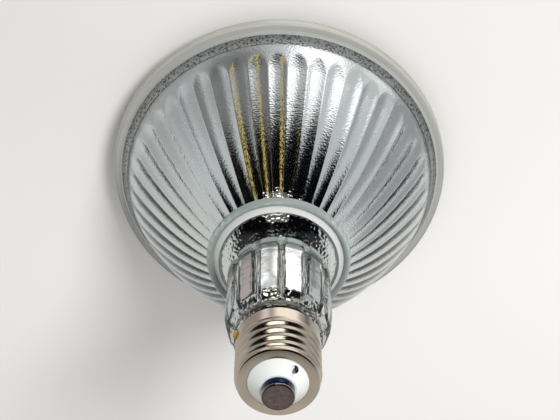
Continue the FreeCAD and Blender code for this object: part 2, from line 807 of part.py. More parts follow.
def capsule():
    """The quartz capsule: a domed bulb with its tip, and the pinch with room for foils and wires."""
    outer_front = BULB_FRONT + " - bulb_wall"
    body = turned("capsule", [
        ("0", outer_front + " - bulb_tip_length"),
        ("bulb_tip_radius", outer_front, ("dome",)),
        ("bulb_radius", outer_front + " + bulb_radius", ("dome",)),
        ("bulb_radius", PINCH_START + " - bulb_shoulder_length"),
        ("bulb_shoulder_radius", PINCH_START),
        ("bulb_shoulder_radius", PINCH_START + " + bulb_wall"),
        ("0", PINCH_START + " + bulb_wall"),
        ("0", BULB_END),
        ("bulb_shoulder_radius - bulb_wall", BULB_END),
        ("bulb_radius - bulb_wall", PINCH_START + " - bulb_shoulder_length"),
        ("bulb_radius - bulb_wall", BULB_FRONT + " + bulb_radius - bulb_wall"),
        ("0", BULB_FRONT, ("dome",)),
    ])
    pinch_sketch = new_sketch(body, "pinch_outline", "XY_Plane", PINCH_START)
    half_width = "0.5*pinch_width"
    half_depth = "0.5*pinch_thickness"
    draw_outline(pinch_sketch, rectangle("- " + half_width, half_width, "- " + half_depth, half_depth))
    pinch = body.newObject("PartDesign::Pad", "pinch")
    pinch.Profile = pinch_sketch
    pinch.setExpression("Length", formula("pinch_length"))
    doc.recompute()
    foil_reach = "0.5*foil_width + seat_gap"
    foil_depth = "0.5*foil_thickness + seat_gap"
    foil_room = rectangle(
        "lead_spacing - " + foil_reach.replace("+", "-"), "lead_spacing + " + foil_reach,
        "- " + foil_depth.replace("+", "-"), foil_depth)
    centre = ("lead_spacing", "0")
    frame_hole = "frame_wire_radius + seat_gap"
    lead_hole = "lead_radius + seat_gap"
    rooms = [
        pocket_outline(body, "foil_room", foil_room, FOIL_END, "foil_length"),
        pocket_hole(body, "frame_room", centre, frame_hole, FOIL_START, "bulb_shoulder_length + foil_length"),
        pocket_hole(body, "lead_room", centre, lead_hole, PINCH_END, "foil_setback"),
    ]
    other_side = body.newObject("PartDesign::Mirrored", "other_lead_rooms")
    other_side.Originals = rooms
    other_side.MirrorPlane = (origin_plane(body, "YZ_Plane"), [""])
    body.Tip = other_side
    doc.recompute()


def foil(label, side):
    """A molybdenum foil that carries the current through the pinch."""
    strip = doc.addObject("Part::Box", label + "_strip")
    strip.setExpression("Length", formula("foil_width"))
    strip.setExpression("Width", formula("foil_thickness"))
    strip.setExpression("Height", formula("foil_length"))
    put(strip, (side + " lead_spacing - 0.5*foil_width", "- 0.5*foil_thickness", FOIL_START))
    keep(strip, label)


def arc_tube():
    """The ceramic arc tube: a barrel with tapered ends and two capillary legs, sintered as one."""
    inner = "arc_radius - arc_wall"
    inner_front = ARC_FRONT + " + arc_wall"
    inner_rear = ARC_REAR + " - arc_wall"
    turned("arc_tube", [
        ("leg_bore_radius", LEG_FRONT),
        ("leg_radius", LEG_FRONT),
        ("leg_radius", ARC_FRONT),
        ("arc_radius", ARC_FRONT + " + arc_end_slope"),
        ("arc_radius", ARC_REAR + " - arc_end_slope"),
        ("leg_radius", ARC_REAR),
        ("leg_radius", LEG_REAR),
        ("leg_bore_radius", LEG_REAR),
        ("leg_bore_radius", inner_rear),
        (inner, inner_rear + " - arc_end_slope"),
        (inner, inner_front + " + arc_end_slope"),
        ("leg_bore_radius", inner_front),
    ])


def electrode_parts(end, leg_end, body_end, outward, inward):
    """Feedthrough, sealing frit and electrode of one leg; outward and inward are + or - along Z."""
    rod = leg_end + " %s feedthrough_outside" % outward
    rod_inner = leg_end + " %s feedthrough_inside" % inward
    low, high = sorted((rod, rod_inner), key=value)
    cylinder_length = "feedthrough_outside + feedthrough_inside"
    keep(cylinder(end + "_rod", "feedthrough_radius", cylinder_length, ("0", "0", low)), "feedthrough_" + end)
    turned("frit_" + end, [
        ("feedthrough_radius + 0.2*seat_gap", leg_end),
        ("leg_radius - 0.5*arc_wall", leg_end),
        ("feedthrough_radius + 0.2*seat_gap", leg_end + " %s frit_height" % outward),
    ])
    tip = body_end + " %s electrode_reach" % inward
    coil_end = tip + " %s electrode_coil_length" % outward
    turned("electrode_" + end, [
        ("0", rod_inner),
        ("electrode_radius", rod_inner),
        ("electrode_radius", coil_end),
        ("electrode_coil_radius", coil_end),
        ("electrode_coil_radius", tip),
        ("0", tip),
    ])


def frame_wires():
    """The long frame wire to the front feedthrough and the short lead to the rear one."""
    radius = value("frame_wire_radius")
    side = value("lead_spacing")
    offset = value("frame_wire_offset")
    foil_start = value(FOIL_START)
    bulb_end = value(BULB_END)
    front = value(LEG_FRONT + " - 0.6*feedthrough_outside")
    rear = value(LEG_REAR + " + 0.6*feedthrough_outside")
    weld = value("feedthrough_radius + seat_gap")
    bend = value("frame_wire_bend")
    run = value("frame_wire_run")
    bent_wire("frame_wire", [
        Vector(side, 0, foil_start),
        Vector(side, 0, bulb_end - bend),
        Vector(offset, 0, bulb_end - bend - run),
        Vector(offset, 0, front),
        Vector(weld, 0, front),
    ], radius, bend)
    bent_wire("short_lead", [
        Vector(-side, 0, foil_start),
        Vector(-side, 0, rear),
        Vector(-weld, 0, rear),
    ], radius, bend)


def lead_wires():
    """The side lead, out over the spigot's end to the solder, and the centre lead to the contact."""
    radius = value("lead_radius")
    side = value("lead_spacing")
    foil_end = value(FOIL_END)
    straight = foil_end + value("lead_straight")
    angle = value("solder_angle")
    past_spigot = value(SPIGOT_END + " + cement_start_gap + cement_start_gap")
    in_cement = value("spigot_radius + seat_gap + 2*lead_radius")
    in_gap = value(THROAT_END + " + 0.5*cap_gap")
    inside = value("spigot_bore_radius - side_lead_inset")
    bent_wire("side_lead", [
        Vector(side, 0, foil_end),
        Vector(side, 0, straight),
        polar(inside, angle, straight + value("side_lead_run")),
        polar(inside, angle, past_spigot),
        polar(in_cement, angle, past_spigot),
        polar(in_cement, angle, in_gap),
        polar(value("collar_radius"), angle, in_gap),
    ], radius, value("lead_bend"))
    bent_wire("centre_lead", [
        Vector(-side, 0, foil_end),
        Vector(-side, 0, straight),
        Vector(0, 0, straight + value("centre_lead_run")),
        Vector(0, 0, value(CONTACT_TOP + " - 0.5*contact_height - seat_gap")),
    ], radius, value("centre_lead_bend"))


def wire_fittings():
    """Sleeves on the leads and the frame wire, and the getter beside it."""
    sleeve_start = PINCH_END + " + 4*seat_gap"
    bore = "lead_radius + seat_gap"
    tube("side_sleeve", ("lead_spacing", "0", sleeve_start), bore, "sleeve_wall", "sleeve_length")
    tube("centre_sleeve", ("- lead_spacing", "0", sleeve_start), bore, "sleeve_wall", "sleeve_length")
    frame_bore = "frame_wire_radius + seat_gap"
    place = ("frame_wire_offset", "0", ARC_CENTRE + " - 0.5*frame_sleeve_length")
    tube("frame_sleeve", place, frame_bore, "frame_sleeve_wall", "frame_sleeve_length")
    getter = doc.addObject("Part::Box", "getter_strip")
    getter.setExpression("Length", formula("getter_thickness"))
    getter.setExpression("Width", formula("getter_width"))
    getter.setExpression("Height", formula("getter_length"))
    inner_side = "frame_wire_offset - frame_wire_radius - seat_gap - getter_thickness"
    above_sleeve = ARC_CENTRE + " + 0.5*frame_sleeve_length + 4*seat_gap"
    put(getter, (inner_side, "- 0.5*getter_width", above_sleeve))
    keep(getter, "getter")


def neck_fillings():
    """The cement that holds the pinch in the neck's bore, and the heat shield disc in front of it."""
    reach = "0.5*pinch_width + seat_gap"
    depth = "0.5*pinch_thickness + seat_gap"
    pinch_room = rectangle(
        "- " + reach.replace("+", "-"), reach, "- " + depth.replace("+", "-"), depth)
    bore = "neck_bore_radius - seat_gap"
    shield_bore = "neck_bore_radius - shield_gap"
    shield_front = CAPSULE_CEMENT_START + " - shield_thickness"
    for label, radius, low, high, depth_cut in (
            ("capsule_cement", bore, CAPSULE_CEMENT_START, CAPSULE_CEMENT_END, "capsule_cement_length"),
            ("heat_shield", shield_bore, shield_front, CAPSULE_CEMENT_START, "shield_thickness")):
        body = turned(label, [("0", low), (radius, low), (radius, high), ("0", high)])
        pocket_outline(body, label + "_slot", pinch_room, high, depth_cut)


front_lens()
lens_seal()
reflector()
capsule()
arc_tube()
electrode_parts("front", LEG_FRONT, ARC_FRONT, "-", "+")
electrode_parts("rear", LEG_REAR, ARC_REAR, "+", "-")
frame_wires()
foil("frame_foil", "+")
foil("short_foil", "-")
lead_wires()
wire_fittings()
neck_fillings()
basing_cement()
screw_shell()
cap_insulator()
centre_contact()
side_solder()

doc.recompute()
faults = [item.Name for item in doc.Objects if "Invalid" in item.State or "Error" in item.State]
for piece in pieces:
    if piece.Shape.isNull() or not piece.Shape.isValid() or piece.Shape.Volume <= 0:
        faults.append(piece.Label)
if faults:
    raise RuntimeError("these did not build: " + ", ".join(faults))

os.makedirs("parts", exist_ok=True)
for piece in pieces:
    piece.Shape.exportStep("parts/%s.step" % piece.Label)
    print("%-16s solids %d volume %.1f" % (piece.Label, len(piece.Shape.Solids), piece.Shape.Volume))
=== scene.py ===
"""A pressed-glass metal halide flood lamp, dressed over its CAD frame.

Lengths are millimetres until a mesh is made, and heights are measured from the floor that the lens stands
on. The lamp's axis is +Z. Angles around it are degrees from +X, and the photographed side faces -Y.
"""
import bpy
import json
import math
import numpy as np
from mathutils import Matrix, Vector

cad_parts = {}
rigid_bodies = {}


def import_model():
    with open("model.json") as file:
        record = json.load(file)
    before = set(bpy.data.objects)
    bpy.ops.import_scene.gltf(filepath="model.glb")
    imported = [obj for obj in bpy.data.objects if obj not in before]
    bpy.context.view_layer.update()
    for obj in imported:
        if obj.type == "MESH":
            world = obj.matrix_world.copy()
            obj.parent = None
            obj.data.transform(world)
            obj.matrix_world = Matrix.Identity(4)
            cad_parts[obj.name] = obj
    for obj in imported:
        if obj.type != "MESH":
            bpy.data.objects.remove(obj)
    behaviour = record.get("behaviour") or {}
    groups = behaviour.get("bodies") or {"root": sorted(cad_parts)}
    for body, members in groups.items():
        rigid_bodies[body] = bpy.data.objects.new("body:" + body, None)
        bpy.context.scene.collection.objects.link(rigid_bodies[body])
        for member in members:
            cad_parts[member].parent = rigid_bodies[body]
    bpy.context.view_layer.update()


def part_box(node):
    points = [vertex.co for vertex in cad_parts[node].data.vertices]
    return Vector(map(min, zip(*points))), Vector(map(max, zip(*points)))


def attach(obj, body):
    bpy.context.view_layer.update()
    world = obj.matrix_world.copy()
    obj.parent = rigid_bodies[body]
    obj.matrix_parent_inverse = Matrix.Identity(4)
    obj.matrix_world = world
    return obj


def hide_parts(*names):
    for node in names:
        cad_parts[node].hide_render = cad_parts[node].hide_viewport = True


MM = 0.001

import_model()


def height_of(node, side):
    """Height of a node's lower (0) or upper (1) end, in millimetres."""
    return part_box(node)[side].z / MM


def radius_of(node):
    """Largest radius of a node that is centred on the axis, in millimetres."""
    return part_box(node)[1].x / MM


LENS_RADIUS = radius_of("front_lens")
LENS_TOP = height_of("lens_seal", 0)
FLANGE_FACE = height_of("reflector", 0)
SPIGOT_END = height_of("reflector", 1)
SHELL_TOP = height_of("screw_shell", 0)
SHELL_END = height_of("screw_shell", 1)
CONTACT_TOP = height_of("centre_contact", 1)
CONTACT_RADIUS = radius_of("centre_contact")

# Front lens
LENS_FOOT_OUTER = LENS_RADIUS - 4.3
LENS_FOOT_INNER = LENS_FOOT_OUTER - 5.5
LENS_DOME = LENS_FOOT_INNER - 1.4
LENS_EDGE = (
    (LENS_FOOT_OUTER, 0.0), (57.6, 0.5), (58.5, 1.9), (59.4, 4.2), (60.1, 6.0), (60.0, LENS_TOP - 0.1))
LENS_RECESS = 2.2
LENS_CROWN_GAP = 0.5
LENS_WALL = 3.6
LENSLET_PITCH = 5.2
LENSLET_DEPTH = 0.3
SEAL_OUTER = radius_of("lens_seal")
SEAL_INNER = SEAL_OUTER - 3.7
SEAL_ROLL = (
    (60.16, 6.15), (60.45, 6.3), (60.66, 6.65), (60.76, 7.3), (60.77, 9.0), (60.7, 9.8), (60.48, 10.35),
    (60.16, 10.62), (60.4, 10.2), (60.45, 9.8), (60.44, 7.3), (60.16, 7.0))
MIRROR_FOOT = ((55.0, 8.7), (55.9, 8.25), (57.0, 7.85), (58.0, 7.45), (58.8, 7.2))
WETTED = 0.03

# Pressed reflector
FLANGE_RADIUS = radius_of("reflector")
FLANGE_TOP = FLANGE_FACE + 3.6
BOWL_START = FLANGE_TOP + 1.3
BOWL_START_RADIUS = LENS_RADIUS - 3.33
BEAD_FOOT = FLANGE_FACE + 58.9
BEAD_TOP = BEAD_FOOT + 1.6
BEAD_RADIUS = 24.2
BEAD_WIDTH = 2.4
PLATE_RADIUS = 17.6
PLATE_HEIGHT = BEAD_TOP + 3.4
ROOT_RADIUS = 15.0
BOWL_WALL = 4.0
FLUTES = 46
FLUTE_SHARES = (0.0, 0.025, 0.06, 0.15, 0.27, 0.39, 0.5, 0.61, 0.73, 0.85, 0.94, 0.975)
FLUTE_EDGE_SOFT = 0.12
FLUTE_EDGE_ANGLE = 274.4
FLUTE_TILT = 13.0
FLUTE_START = 16.2
FLUTE_FULL = 22.7
FLUTE_END = 66.0
MIRROR_RING_HEIGHT = 10.8
MIRROR_RING_HALF = 1.7
MIRROR_RING_DEPTH = 0.16
CROWN_TOP = 73.4

# Lobed neck
LOBES = 12
GROOVE_ANGLE = 266.6
GROOVE_HALF = 4.2
GROOVE_HALF_HEIGHT = 106.0
GROOVE_SPREAD = 0.104
GROOVE_FLARE = 4.5
FLARE_START = 83.0
FLARE_END = 78.0
LOBE_START = 77.7
LOBE_BEVEL_END = 80.8
LOBE_END = 108.6
LOBE_CROWN = 0.011
LOBE_HALF = 8.5
NECK_BLEND = 0.12
THROAT_RADIUS = 13.7
THROAT_END = SPIGOT_END - 6.9
# Lines of (height, radius) up the neck: its panels, its grooves' floors and the cones at its two ends
PANEL_LINE = ((78, 19.0), (84, 18.9), (91, 18.25), (99, 17.1), (105, 16.1), (109, 15.4))
GROOVE_LINE = ((78, 15.7), (82, 15.9), (105, 14.6), (109, 14.3))
BEVEL_LINE = ((LOBE_START, 15.6), (LOBE_START + 0.5, 17.9), (LOBE_BEVEL_END, 19.15))
CONE_LINE = ((103.5, 16.9), (LOBE_END, THROAT_RADIUS))
SPIGOT_RADIUS = 11.2
SPIGOT_BORE = 8.5
NECK_BORE = 12.4
NECK_BORE_END = NECK_BORE - 0.6
NECK_WALL = 2.4
NECK_MIRROR_LIMIT = 18.6
NECK_MIRROR_CLOSED = 106.5
NECK_MIRROR_OPEN = 103.6


def smooth_step(low, high, position):
    """0 below low, 1 above high and a smooth climb between them."""
    share = np.clip((position - low) / (high - low), 0.0, 1.0)
    return share * share * (3 - 2 * share)


def arc_points(centre, radius, first, last, count):
    """Points (radius, height) of a circular arc about centre, from one angle in degrees to another."""
    turn = np.radians(np.linspace(first, last, count))
    return np.stack([centre[0] + radius * np.cos(turn), centre[1] + radius * np.sin(turn)], 1)


def line_points(start, end, count):
    """Evenly spaced points on a straight run, both ends included."""
    share = np.linspace(0, 1, count)[:, None]
    return np.array(start) * (1 - share) + np.array(end) * share


def profile(*runs):
    """One list of (radius, height) points from runs, with repeated points dropped."""
    points = np.concatenate([np.atleast_2d(run) for run in runs])
    steps = np.linalg.norm(np.diff(points, axis=0), axis=1)
    return points[np.concatenate([[True], steps > 1e-6])]


def along(height, line):
    """The radius at a height, on straight runs between a line's (height, radius) points."""
    return np.interp(height, *zip(*line))


def around(radius, height, angles):
    """Points on the axis's circles: x = r cos a, y = r sin a, z = h, for rows by columns."""
    turn = np.radians(angles)
    return np.stack(np.broadcast_arrays(radius * np.cos(turn), radius * np.sin(turn), height), -1)


def turned(points, angles):
    """A profile of (radius, height) points carried round the axis, one row for each."""
    points = np.asarray(points)
    return around(points[:, :1], points[:, 1:], angles)


def rows_at(*runs):
    """Heights of rows, one to a line, from runs of (first, last, count)."""
    return np.concatenate([np.linspace(*run) for run in runs])[:, None]


def column_angles(count):
    """Evenly spaced angles of a full turn, as one row."""
    return np.arange(count)[None, :] * 360 / count


def surface(name, parts, loop=False, start_pole=False, end_pole=False, crease=30, replaces=()):
    """A piece from grids of points in millimetres, rows by columns, that closes around its columns.

    parts is a list of (grid, material), joined row after row; a band between two rows takes the material
    of its first row. With loop, the last row joins the first. With a pole, that end row's points are one
    point on the axis, so its band is triangles. The piece is shaded smooth up to the crease angle.
    """
    materials = list(dict.fromkeys(material for grid, material in parts))
    points = np.concatenate([grid for grid, material in parts])
    kind = np.concatenate([np.full(len(grid), materials.index(material)) for grid, material in parts])
    rows, columns = points.shape[:2]
    index = np.arange(rows * columns).reshape(rows, columns)
    if start_pole:
        index[0] = index[0, 0]
    if end_pole:
        index[-1] = index[-1, 0]
    low = index if loop else index[:-1]
    high = np.roll(index, -1, 0) if loop else index[1:]
    corners = np.stack([low, np.roll(low, -1, 1), np.roll(high, -1, 1), high], -1)
    kept = np.ones(corners.shape, bool)
    kept[0, :, 1] = not start_pole
    kept[-1, :, 3] = not end_pole
    used, corner_points = np.unique(corners[kept], return_inverse=True)
    face_sizes = kept.sum(-1).ravel()
    mesh = bpy.data.meshes.new(name)
    mesh.vertices.add(len(used))
    mesh.vertices.foreach_set("co", (points.reshape(-1, 3)[used] * MM).ravel())
    mesh.loops.add(len(corner_points))
    mesh.loops.foreach_set("vertex_index", corner_points.ravel().astype(np.int32))
    mesh.polygons.add(len(face_sizes))
    mesh.polygons.foreach_set("loop_start", (np.cumsum(face_sizes) - face_sizes).astype(np.int32))
    mesh.polygons.foreach_set("material_index", np.repeat(kind[:len(corners)], columns).astype(np.int32))
    mesh.polygons.foreach_set("use_smooth", np.ones(len(face_sizes), bool))
    mesh.update(calc_edges=True)
    for material in materials:
        mesh.materials.append(material)
    mesh.set_sharp_from_angle(angle=math.radians(crease))
    piece = bpy.data.objects.new(name, mesh)
    bpy.context.scene.collection.objects.link(piece)
    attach(piece, "root")
    if replaces:
        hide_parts(*replaces)
    return piece


# Materials

def new_material(name):
    """A new material, its node tree and its Principled shader."""
    material = bpy.data.materials.new(name)
    material.use_nodes = True
    shader = material.node_tree.nodes["Principled BSDF"]
    return material, material.node_tree, shader


def set_inputs(node, **values):
    """Sets a node's sockets by name, with underscores for spaces."""
    for name, value in values.items():
        node.inputs[name.replace("_", " ")].default_value = value


def add(tree, kind, **values):
    """A node with its properties set."""
    node = tree.nodes.new(kind)
    for name, value in values.items():
        setattr(node, name, value)
    return node


def new_group(name, inputs, output, kind):
    """A shader node group with named inputs (label, type, value) and one output."""
    tree = bpy.data.node_groups.new(name, "ShaderNodeTree")
    for label, socket_type, value in inputs:
        socket = tree.interface.new_socket(name=label, in_out="INPUT", socket_type=socket_type)
        socket.default_value = value
    tree.interface.new_socket(name=output, in_out="OUTPUT", socket_type=kind)
    return tree, add(tree, "NodeGroupInput"), add(tree, "NodeGroupOutput")


def object_place(tree):
    """The point on the piece, in metres."""
    return add(tree, "ShaderNodeTexCoord").outputs["Object"]


def math_node(tree, operation, first, second=None):
    """One maths step; each operand is a number or a socket."""
    node = add(tree, "ShaderNodeMath", operation=operation)
    for socket, value in zip(node.inputs, (first, second)):
        if isinstance(value, bpy.types.NodeSocket):
            tree.links.new(value, socket)
        elif value is not None:
            socket.default_value = value
    return node.outputs[0]


def colour_drift_group():
    """A colour that grows darker and lighter over the piece, by Amount either way."""
    tree, source, result = new_group("colour_drift", [
        ("Colour", "NodeSocketColor", (0.5, 0.5, 0.5, 1)),
        ("Amount", "NodeSocketFloat", 0.1),
        ("Scale", "NodeSocketFloat", 200.0),
    ], "Colour", "NodeSocketColor")
    noise = add(tree, "ShaderNodeTexNoise")
    set_inputs(noise, Detail=4.0)
    tree.links.new(object_place(tree), noise.inputs["Vector"])
    tree.links.new(source.outputs["Scale"], noise.inputs["Scale"])
    swing = math_node(tree, "MULTIPLY_ADD", noise.outputs["Fac"], 4.0)
    swing.node.inputs[2].default_value = -2.0
    factor = math_node(tree, "MULTIPLY_ADD", swing, source.outputs["Amount"])
    factor.node.inputs[2].default_value = 1.0
    scaled = add(tree, "ShaderNodeVectorMath", operation="SCALE")
    tree.links.new(source.outputs["Colour"], scaled.inputs[0])
    tree.links.new(factor, scaled.inputs["Scale"])
    tree.links.new(scaled.outputs[0], result.inputs["Colour"])
    return tree


def grain_group():
    """A normal roughened by noise: Scale features a metre, Depth in metres, Stretch to draw them out."""
    tree, source, result = new_group("grain", [
        ("Scale", "NodeSocketFloat", 500.0),
        ("Depth", "NodeSocketFloat", 0.0001),
        ("Stretch", "NodeSocketVector", (1.0, 1.0, 1.0)),
        ("Detail", "NodeSocketFloat", 2.0),
    ], "Normal", "NodeSocketVector")
    stretched = add(tree, "ShaderNodeVectorMath", operation="MULTIPLY")
    tree.links.new(object_place(tree), stretched.inputs[0])
    tree.links.new(source.outputs["Stretch"], stretched.inputs[1])
    noise = add(tree, "ShaderNodeTexNoise")
    tree.links.new(stretched.outputs[0], noise.inputs["Vector"])
    tree.links.new(source.outputs["Scale"], noise.inputs["Scale"])
    tree.links.new(source.outputs["Detail"], noise.inputs["Detail"])
    height = math_node(tree, "MULTIPLY", noise.outputs["Fac"], source.outputs["Depth"])
    node = add(tree, "ShaderNodeBump")
    set_inputs(node, Distance=1.0, Strength=1.0)
    tree.links.new(height, node.inputs["Height"])
    tree.links.new(node.outputs["Normal"], result.inputs["Normal"])
    return tree


def height_band_group():
    """1 between the heights Low and High in millimetres, with ends that are Soft either way."""
    tree, source, result = new_group("height_band", [
        ("Low", "NodeSocketFloat", 0.0),
        ("High", "NodeSocketFloat", 1.0),
        ("Soft", "NodeSocketFloat", 0.1),
    ], "Share", "NodeSocketFloat")
    split = add(tree, "ShaderNodeSeparateXYZ")
    tree.links.new(object_place(tree), split.inputs[0])
    height = math_node(tree, "DIVIDE", split.outputs["Z"], MM)
    ends = []
    for edge, below, above in (("Low", "SUBTRACT", "ADD"), ("High", "ADD", "SUBTRACT")):
        step = add(tree, "ShaderNodeMapRange", interpolation_type="SMOOTHSTEP")
        tree.links.new(height, step.inputs["Value"])
        edge = source.outputs[edge]
        tree.links.new(math_node(tree, below, edge, source.outputs["Soft"]), step.inputs["From Min"])
        tree.links.new(math_node(tree, above, edge, source.outputs["Soft"]), step.inputs["From Max"])
        ends.append(step.outputs["Result"])
    tree.links.new(math_node(tree, "MULTIPLY", *ends), result.inputs["Share"])
    return tree


def patch_group():
    """1 within Reach of the point Middle, in millimetres, with the offset from it scaled by Stretch first.

    The fall is Soft wide, and Ragged frays it by noise.
    """
    tree, source, result = new_group("patch", [
        ("Middle", "NodeSocketVector", (0.0, 0.0, 0.0)),
        ("Stretch", "NodeSocketVector", (1.0, 1.0, 1.0)),
        ("Reach", "NodeSocketFloat", 1.0),
        ("Soft", "NodeSocketFloat", 0.1),
        ("Ragged", "NodeSocketFloat", 0.0),
    ], "Share", "NodeSocketFloat")
    place = object_place(tree)
    scaled = add(tree, "ShaderNodeVectorMath", operation="SCALE")
    tree.links.new(place, scaled.inputs[0])
    set_inputs(scaled, Scale=1 / MM)
    offset = add(tree, "ShaderNodeVectorMath", operation="SUBTRACT")
    tree.links.new(scaled.outputs[0], offset.inputs[0])
    tree.links.new(source.outputs["Middle"], offset.inputs[1])
    stretched = add(tree, "ShaderNodeVectorMath", operation="MULTIPLY")
    tree.links.new(offset.outputs[0], stretched.inputs[0])
    tree.links.new(source.outputs["Stretch"], stretched.inputs[1])
    length = add(tree, "ShaderNodeVectorMath", operation="LENGTH")
    tree.links.new(stretched.outputs[0], length.inputs[0])
    noise = add(tree, "ShaderNodeTexNoise")
    set_inputs(noise, Scale=1400.0, Detail=1.0)
    tree.links.new(place, noise.inputs["Vector"])
    fray = math_node(tree, "MULTIPLY", math_node(tree, "SUBTRACT", noise.outputs["Fac"], 0.5),
                     source.outputs["Ragged"])
    half_soft = math_node(tree, "MULTIPLY", source.outputs["Soft"], 0.5)
    fall = add(tree, "ShaderNodeMapRange", interpolation_type="SMOOTHSTEP")
    tree.links.new(math_node(tree, "ADD", length.outputs["Value"], fray), fall.inputs["Value"])
    reach = source.outputs["Reach"]
    tree.links.new(math_node(tree, "ADD", reach, half_soft), fall.inputs["From Min"])
    tree.links.new(math_node(tree, "SUBTRACT", reach, half_soft), fall.inputs["From Max"])
    tree.links.new(fall.outputs["Result"], result.inputs["Share"])
    return tree


DRIFT = colour_drift_group()
GRAIN = grain_group()
HEIGHT_BAND = height_band_group()
PATCH = patch_group()


def use_group(tree, group, **values):
    """A group in a material, with its inputs set by name; each is a constant or a socket."""
    node = add(tree, "ShaderNodeGroup", node_tree=group)
    for name, value in values.items():
        if isinstance(value, bpy.types.NodeSocket):
            tree.links.new(value, node.inputs[name])
        else:
            node.inputs[name].default_value = value
    return node.outputs[0]


def add_grain(tree, shader, **values):
    """Roughens a shader's normal."""
    tree.links.new(use_group(tree, GRAIN, **values), shader.inputs["Normal"])


def add_drift(tree, shader, colour, amount, scale):
    """Gives a shader a colour that drifts over the piece. colour is a tuple or a socket."""
    if isinstance(colour, tuple):
        colour = (*colour, 1.0)
    drifting = use_group(tree, DRIFT, Colour=colour, Amount=amount, Scale=scale)
    tree.links.new(drifting, shader.inputs["Base Color"])


def blend_colours(tree, share, first, second):
    """first where share is 0, second where it is 1; each is a colour or a socket."""
    mix = add(tree, "ShaderNodeMix", data_type="RGBA")
    tree.links.new(share, mix.inputs["Factor"])
    for socket, colour in ((mix.inputs[6], first), (mix.inputs[7], second)):
        if isinstance(colour, tuple):
            socket.default_value = (*colour, 1.0)
        else:
            tree.links.new(colour, socket)
    return mix.outputs[2]


def glass(name, tint, roughness=0.0, index=1.47, clear=1.0):
    """Glass with a tint on its surface and a grey-green one in its depth, ground where clear is low."""
    material, tree, shader = new_material(name)
    set_inputs(shader, Base_Color=(*tint, 1), Roughness=roughness, IOR=index, Transmission_Weight=clear)
    add_grain(tree, shader, Scale=160.0, Depth=0.00002)
    absorb = add(tree, "ShaderNodeVolumeAbsorption")
    set_inputs(absorb, Color=(0.62, 0.72, 0.68, 1), Density=9.0)
    tree.links.new(absorb.outputs["Volume"], tree.nodes["Material Output"].inputs["Volume"])
    return material


def mirror_coat(name, scale, depth):
    """Aluminium on the inside of the glass, with lumps from the mould, scale of them a metre."""
    material, tree, shader = new_material(name)
    set_inputs(shader, Base_Color=(0.95, 0.955, 0.965, 1), Metallic=1.0, Roughness=0.05)
    add_grain(tree, shader, Scale=scale, Depth=depth, Detail=0.5)
    return material


def neck_coat():
    """The same aluminium in the neck's bore, smoother and faintly wavy."""
    material, tree, shader = new_material("neck_coat")
    set_inputs(shader, Base_Color=(0.97, 0.965, 0.965, 1), Metallic=1.0, Roughness=0.12)
    add_grain(tree, shader, Scale=260.0, Depth=0.00008)
    return material


def coat_edge(name, colour, patches, bare, scale, depth):
    """Where the mirror coat thins out: bright lumps, and bare patches of a pale colour.

    patches is how many there are to a metre, and bare the share of noise below which the coat is missing.
    """
    material, tree, shader = new_material(name)
    noise = add(tree, "ShaderNodeTexNoise")
    set_inputs(noise, Scale=patches, Detail=2.0)
    tree.links.new(object_place(tree), noise.inputs["Vector"])
    coated = add(tree, "ShaderNodeMapRange")
    set_inputs(coated, From_Min=bare, From_Max=bare + 0.03)
    tree.links.new(noise.outputs["Fac"], coated.inputs["Value"])
    tree.links.new(coated.outputs["Result"], shader.inputs["Metallic"])
    set_inputs(shader, Base_Color=(*colour, 1), Roughness=0.12)
    add_grain(tree, shader, Scale=scale, Depth=depth, Detail=0.5)
    return material


def metal(name, colour, roughness, scale=300.0, depth=0.00001, stretch=(1, 1, 1)):
    """A metal with drifting colour and fine marks."""
    material, tree, shader = new_material(name)
    set_inputs(shader, Metallic=1.0, Roughness=roughness)
    add_drift(tree, shader, colour, amount=0.08, scale=120.0)
    add_grain(tree, shader, Scale=scale, Depth=depth, Stretch=stretch)
    return material


def stone(name, colour, roughness, amount=0.06, drift=300.0, coat=0.0):
    """A ceramic, cement or compound: matt or glossy, with an uneven colour and grain."""
    material, tree, shader = new_material(name)
    set_inputs(shader, Roughness=roughness, Coat_Weight=coat, Coat_Roughness=0.05)
    add_drift(tree, shader, colour, amount, drift)
    add_grain(tree, shader, Scale=900.0, Depth=0.00004)
    return material


GLASS = glass("pressed_glass", (0.985, 1.0, 0.99))
EDGE_GLASS = glass("pressed_edge", (0.50, 0.57, 0.55), roughness=0.22, clear=0.55)
FLANGE_GLASS = glass("pressed_flange", (0.66, 0.67, 0.63), roughness=0.04, clear=0.5)
MIRROR = mirror_coat("mirror_coat", scale=1700.0, depth=0.000035)
CROWN_COAT = mirror_coat("crown_coat", scale=1000.0, depth=0.00016)
NECK_COAT = neck_coat()
COAT_EDGE = coat_edge(
    "coat_edge", (0.86, 0.86, 0.84), patches=420.0, bare=0.36, scale=800.0, depth=0.0003)
RING_COAT = coat_edge(
    "ring_coat", (0.98, 0.99, 1.0), patches=1100.0, bare=0.54, scale=800.0, depth=0.0003)
FROSTED = glass("frosted_step", (0.72, 0.73, 0.71), roughness=0.45, clear=0.25)
CEMENT = stone("cement_cured", (0.78, 0.76, 0.70), 0.85)
# Painted light: the sealing compound again, much paler than SEAL where it lies under the glass, standing in
# for the light the glass keeps from it
COMPOUND = stone("compound_under_glass", (0.92, 0.90, 0.83), 0.6)
SEAL = stone("sealing_compound", (0.40, 0.39, 0.345), 0.35, coat=0.5)
NICKEL = metal("nickel_plate", (0.65, 0.56, 0.46), 0.17, scale=60.0, depth=0.000003, stretch=(1, 1, 40))


# Front lens

def lens_dome(radius):
    """Height of the lens's outer face: its crown plus its rise times (radius / dome's radius) squared."""
    return LENS_CROWN_GAP + (LENS_RECESS - LENS_CROWN_GAP) * (radius / LENS_DOME) ** 2


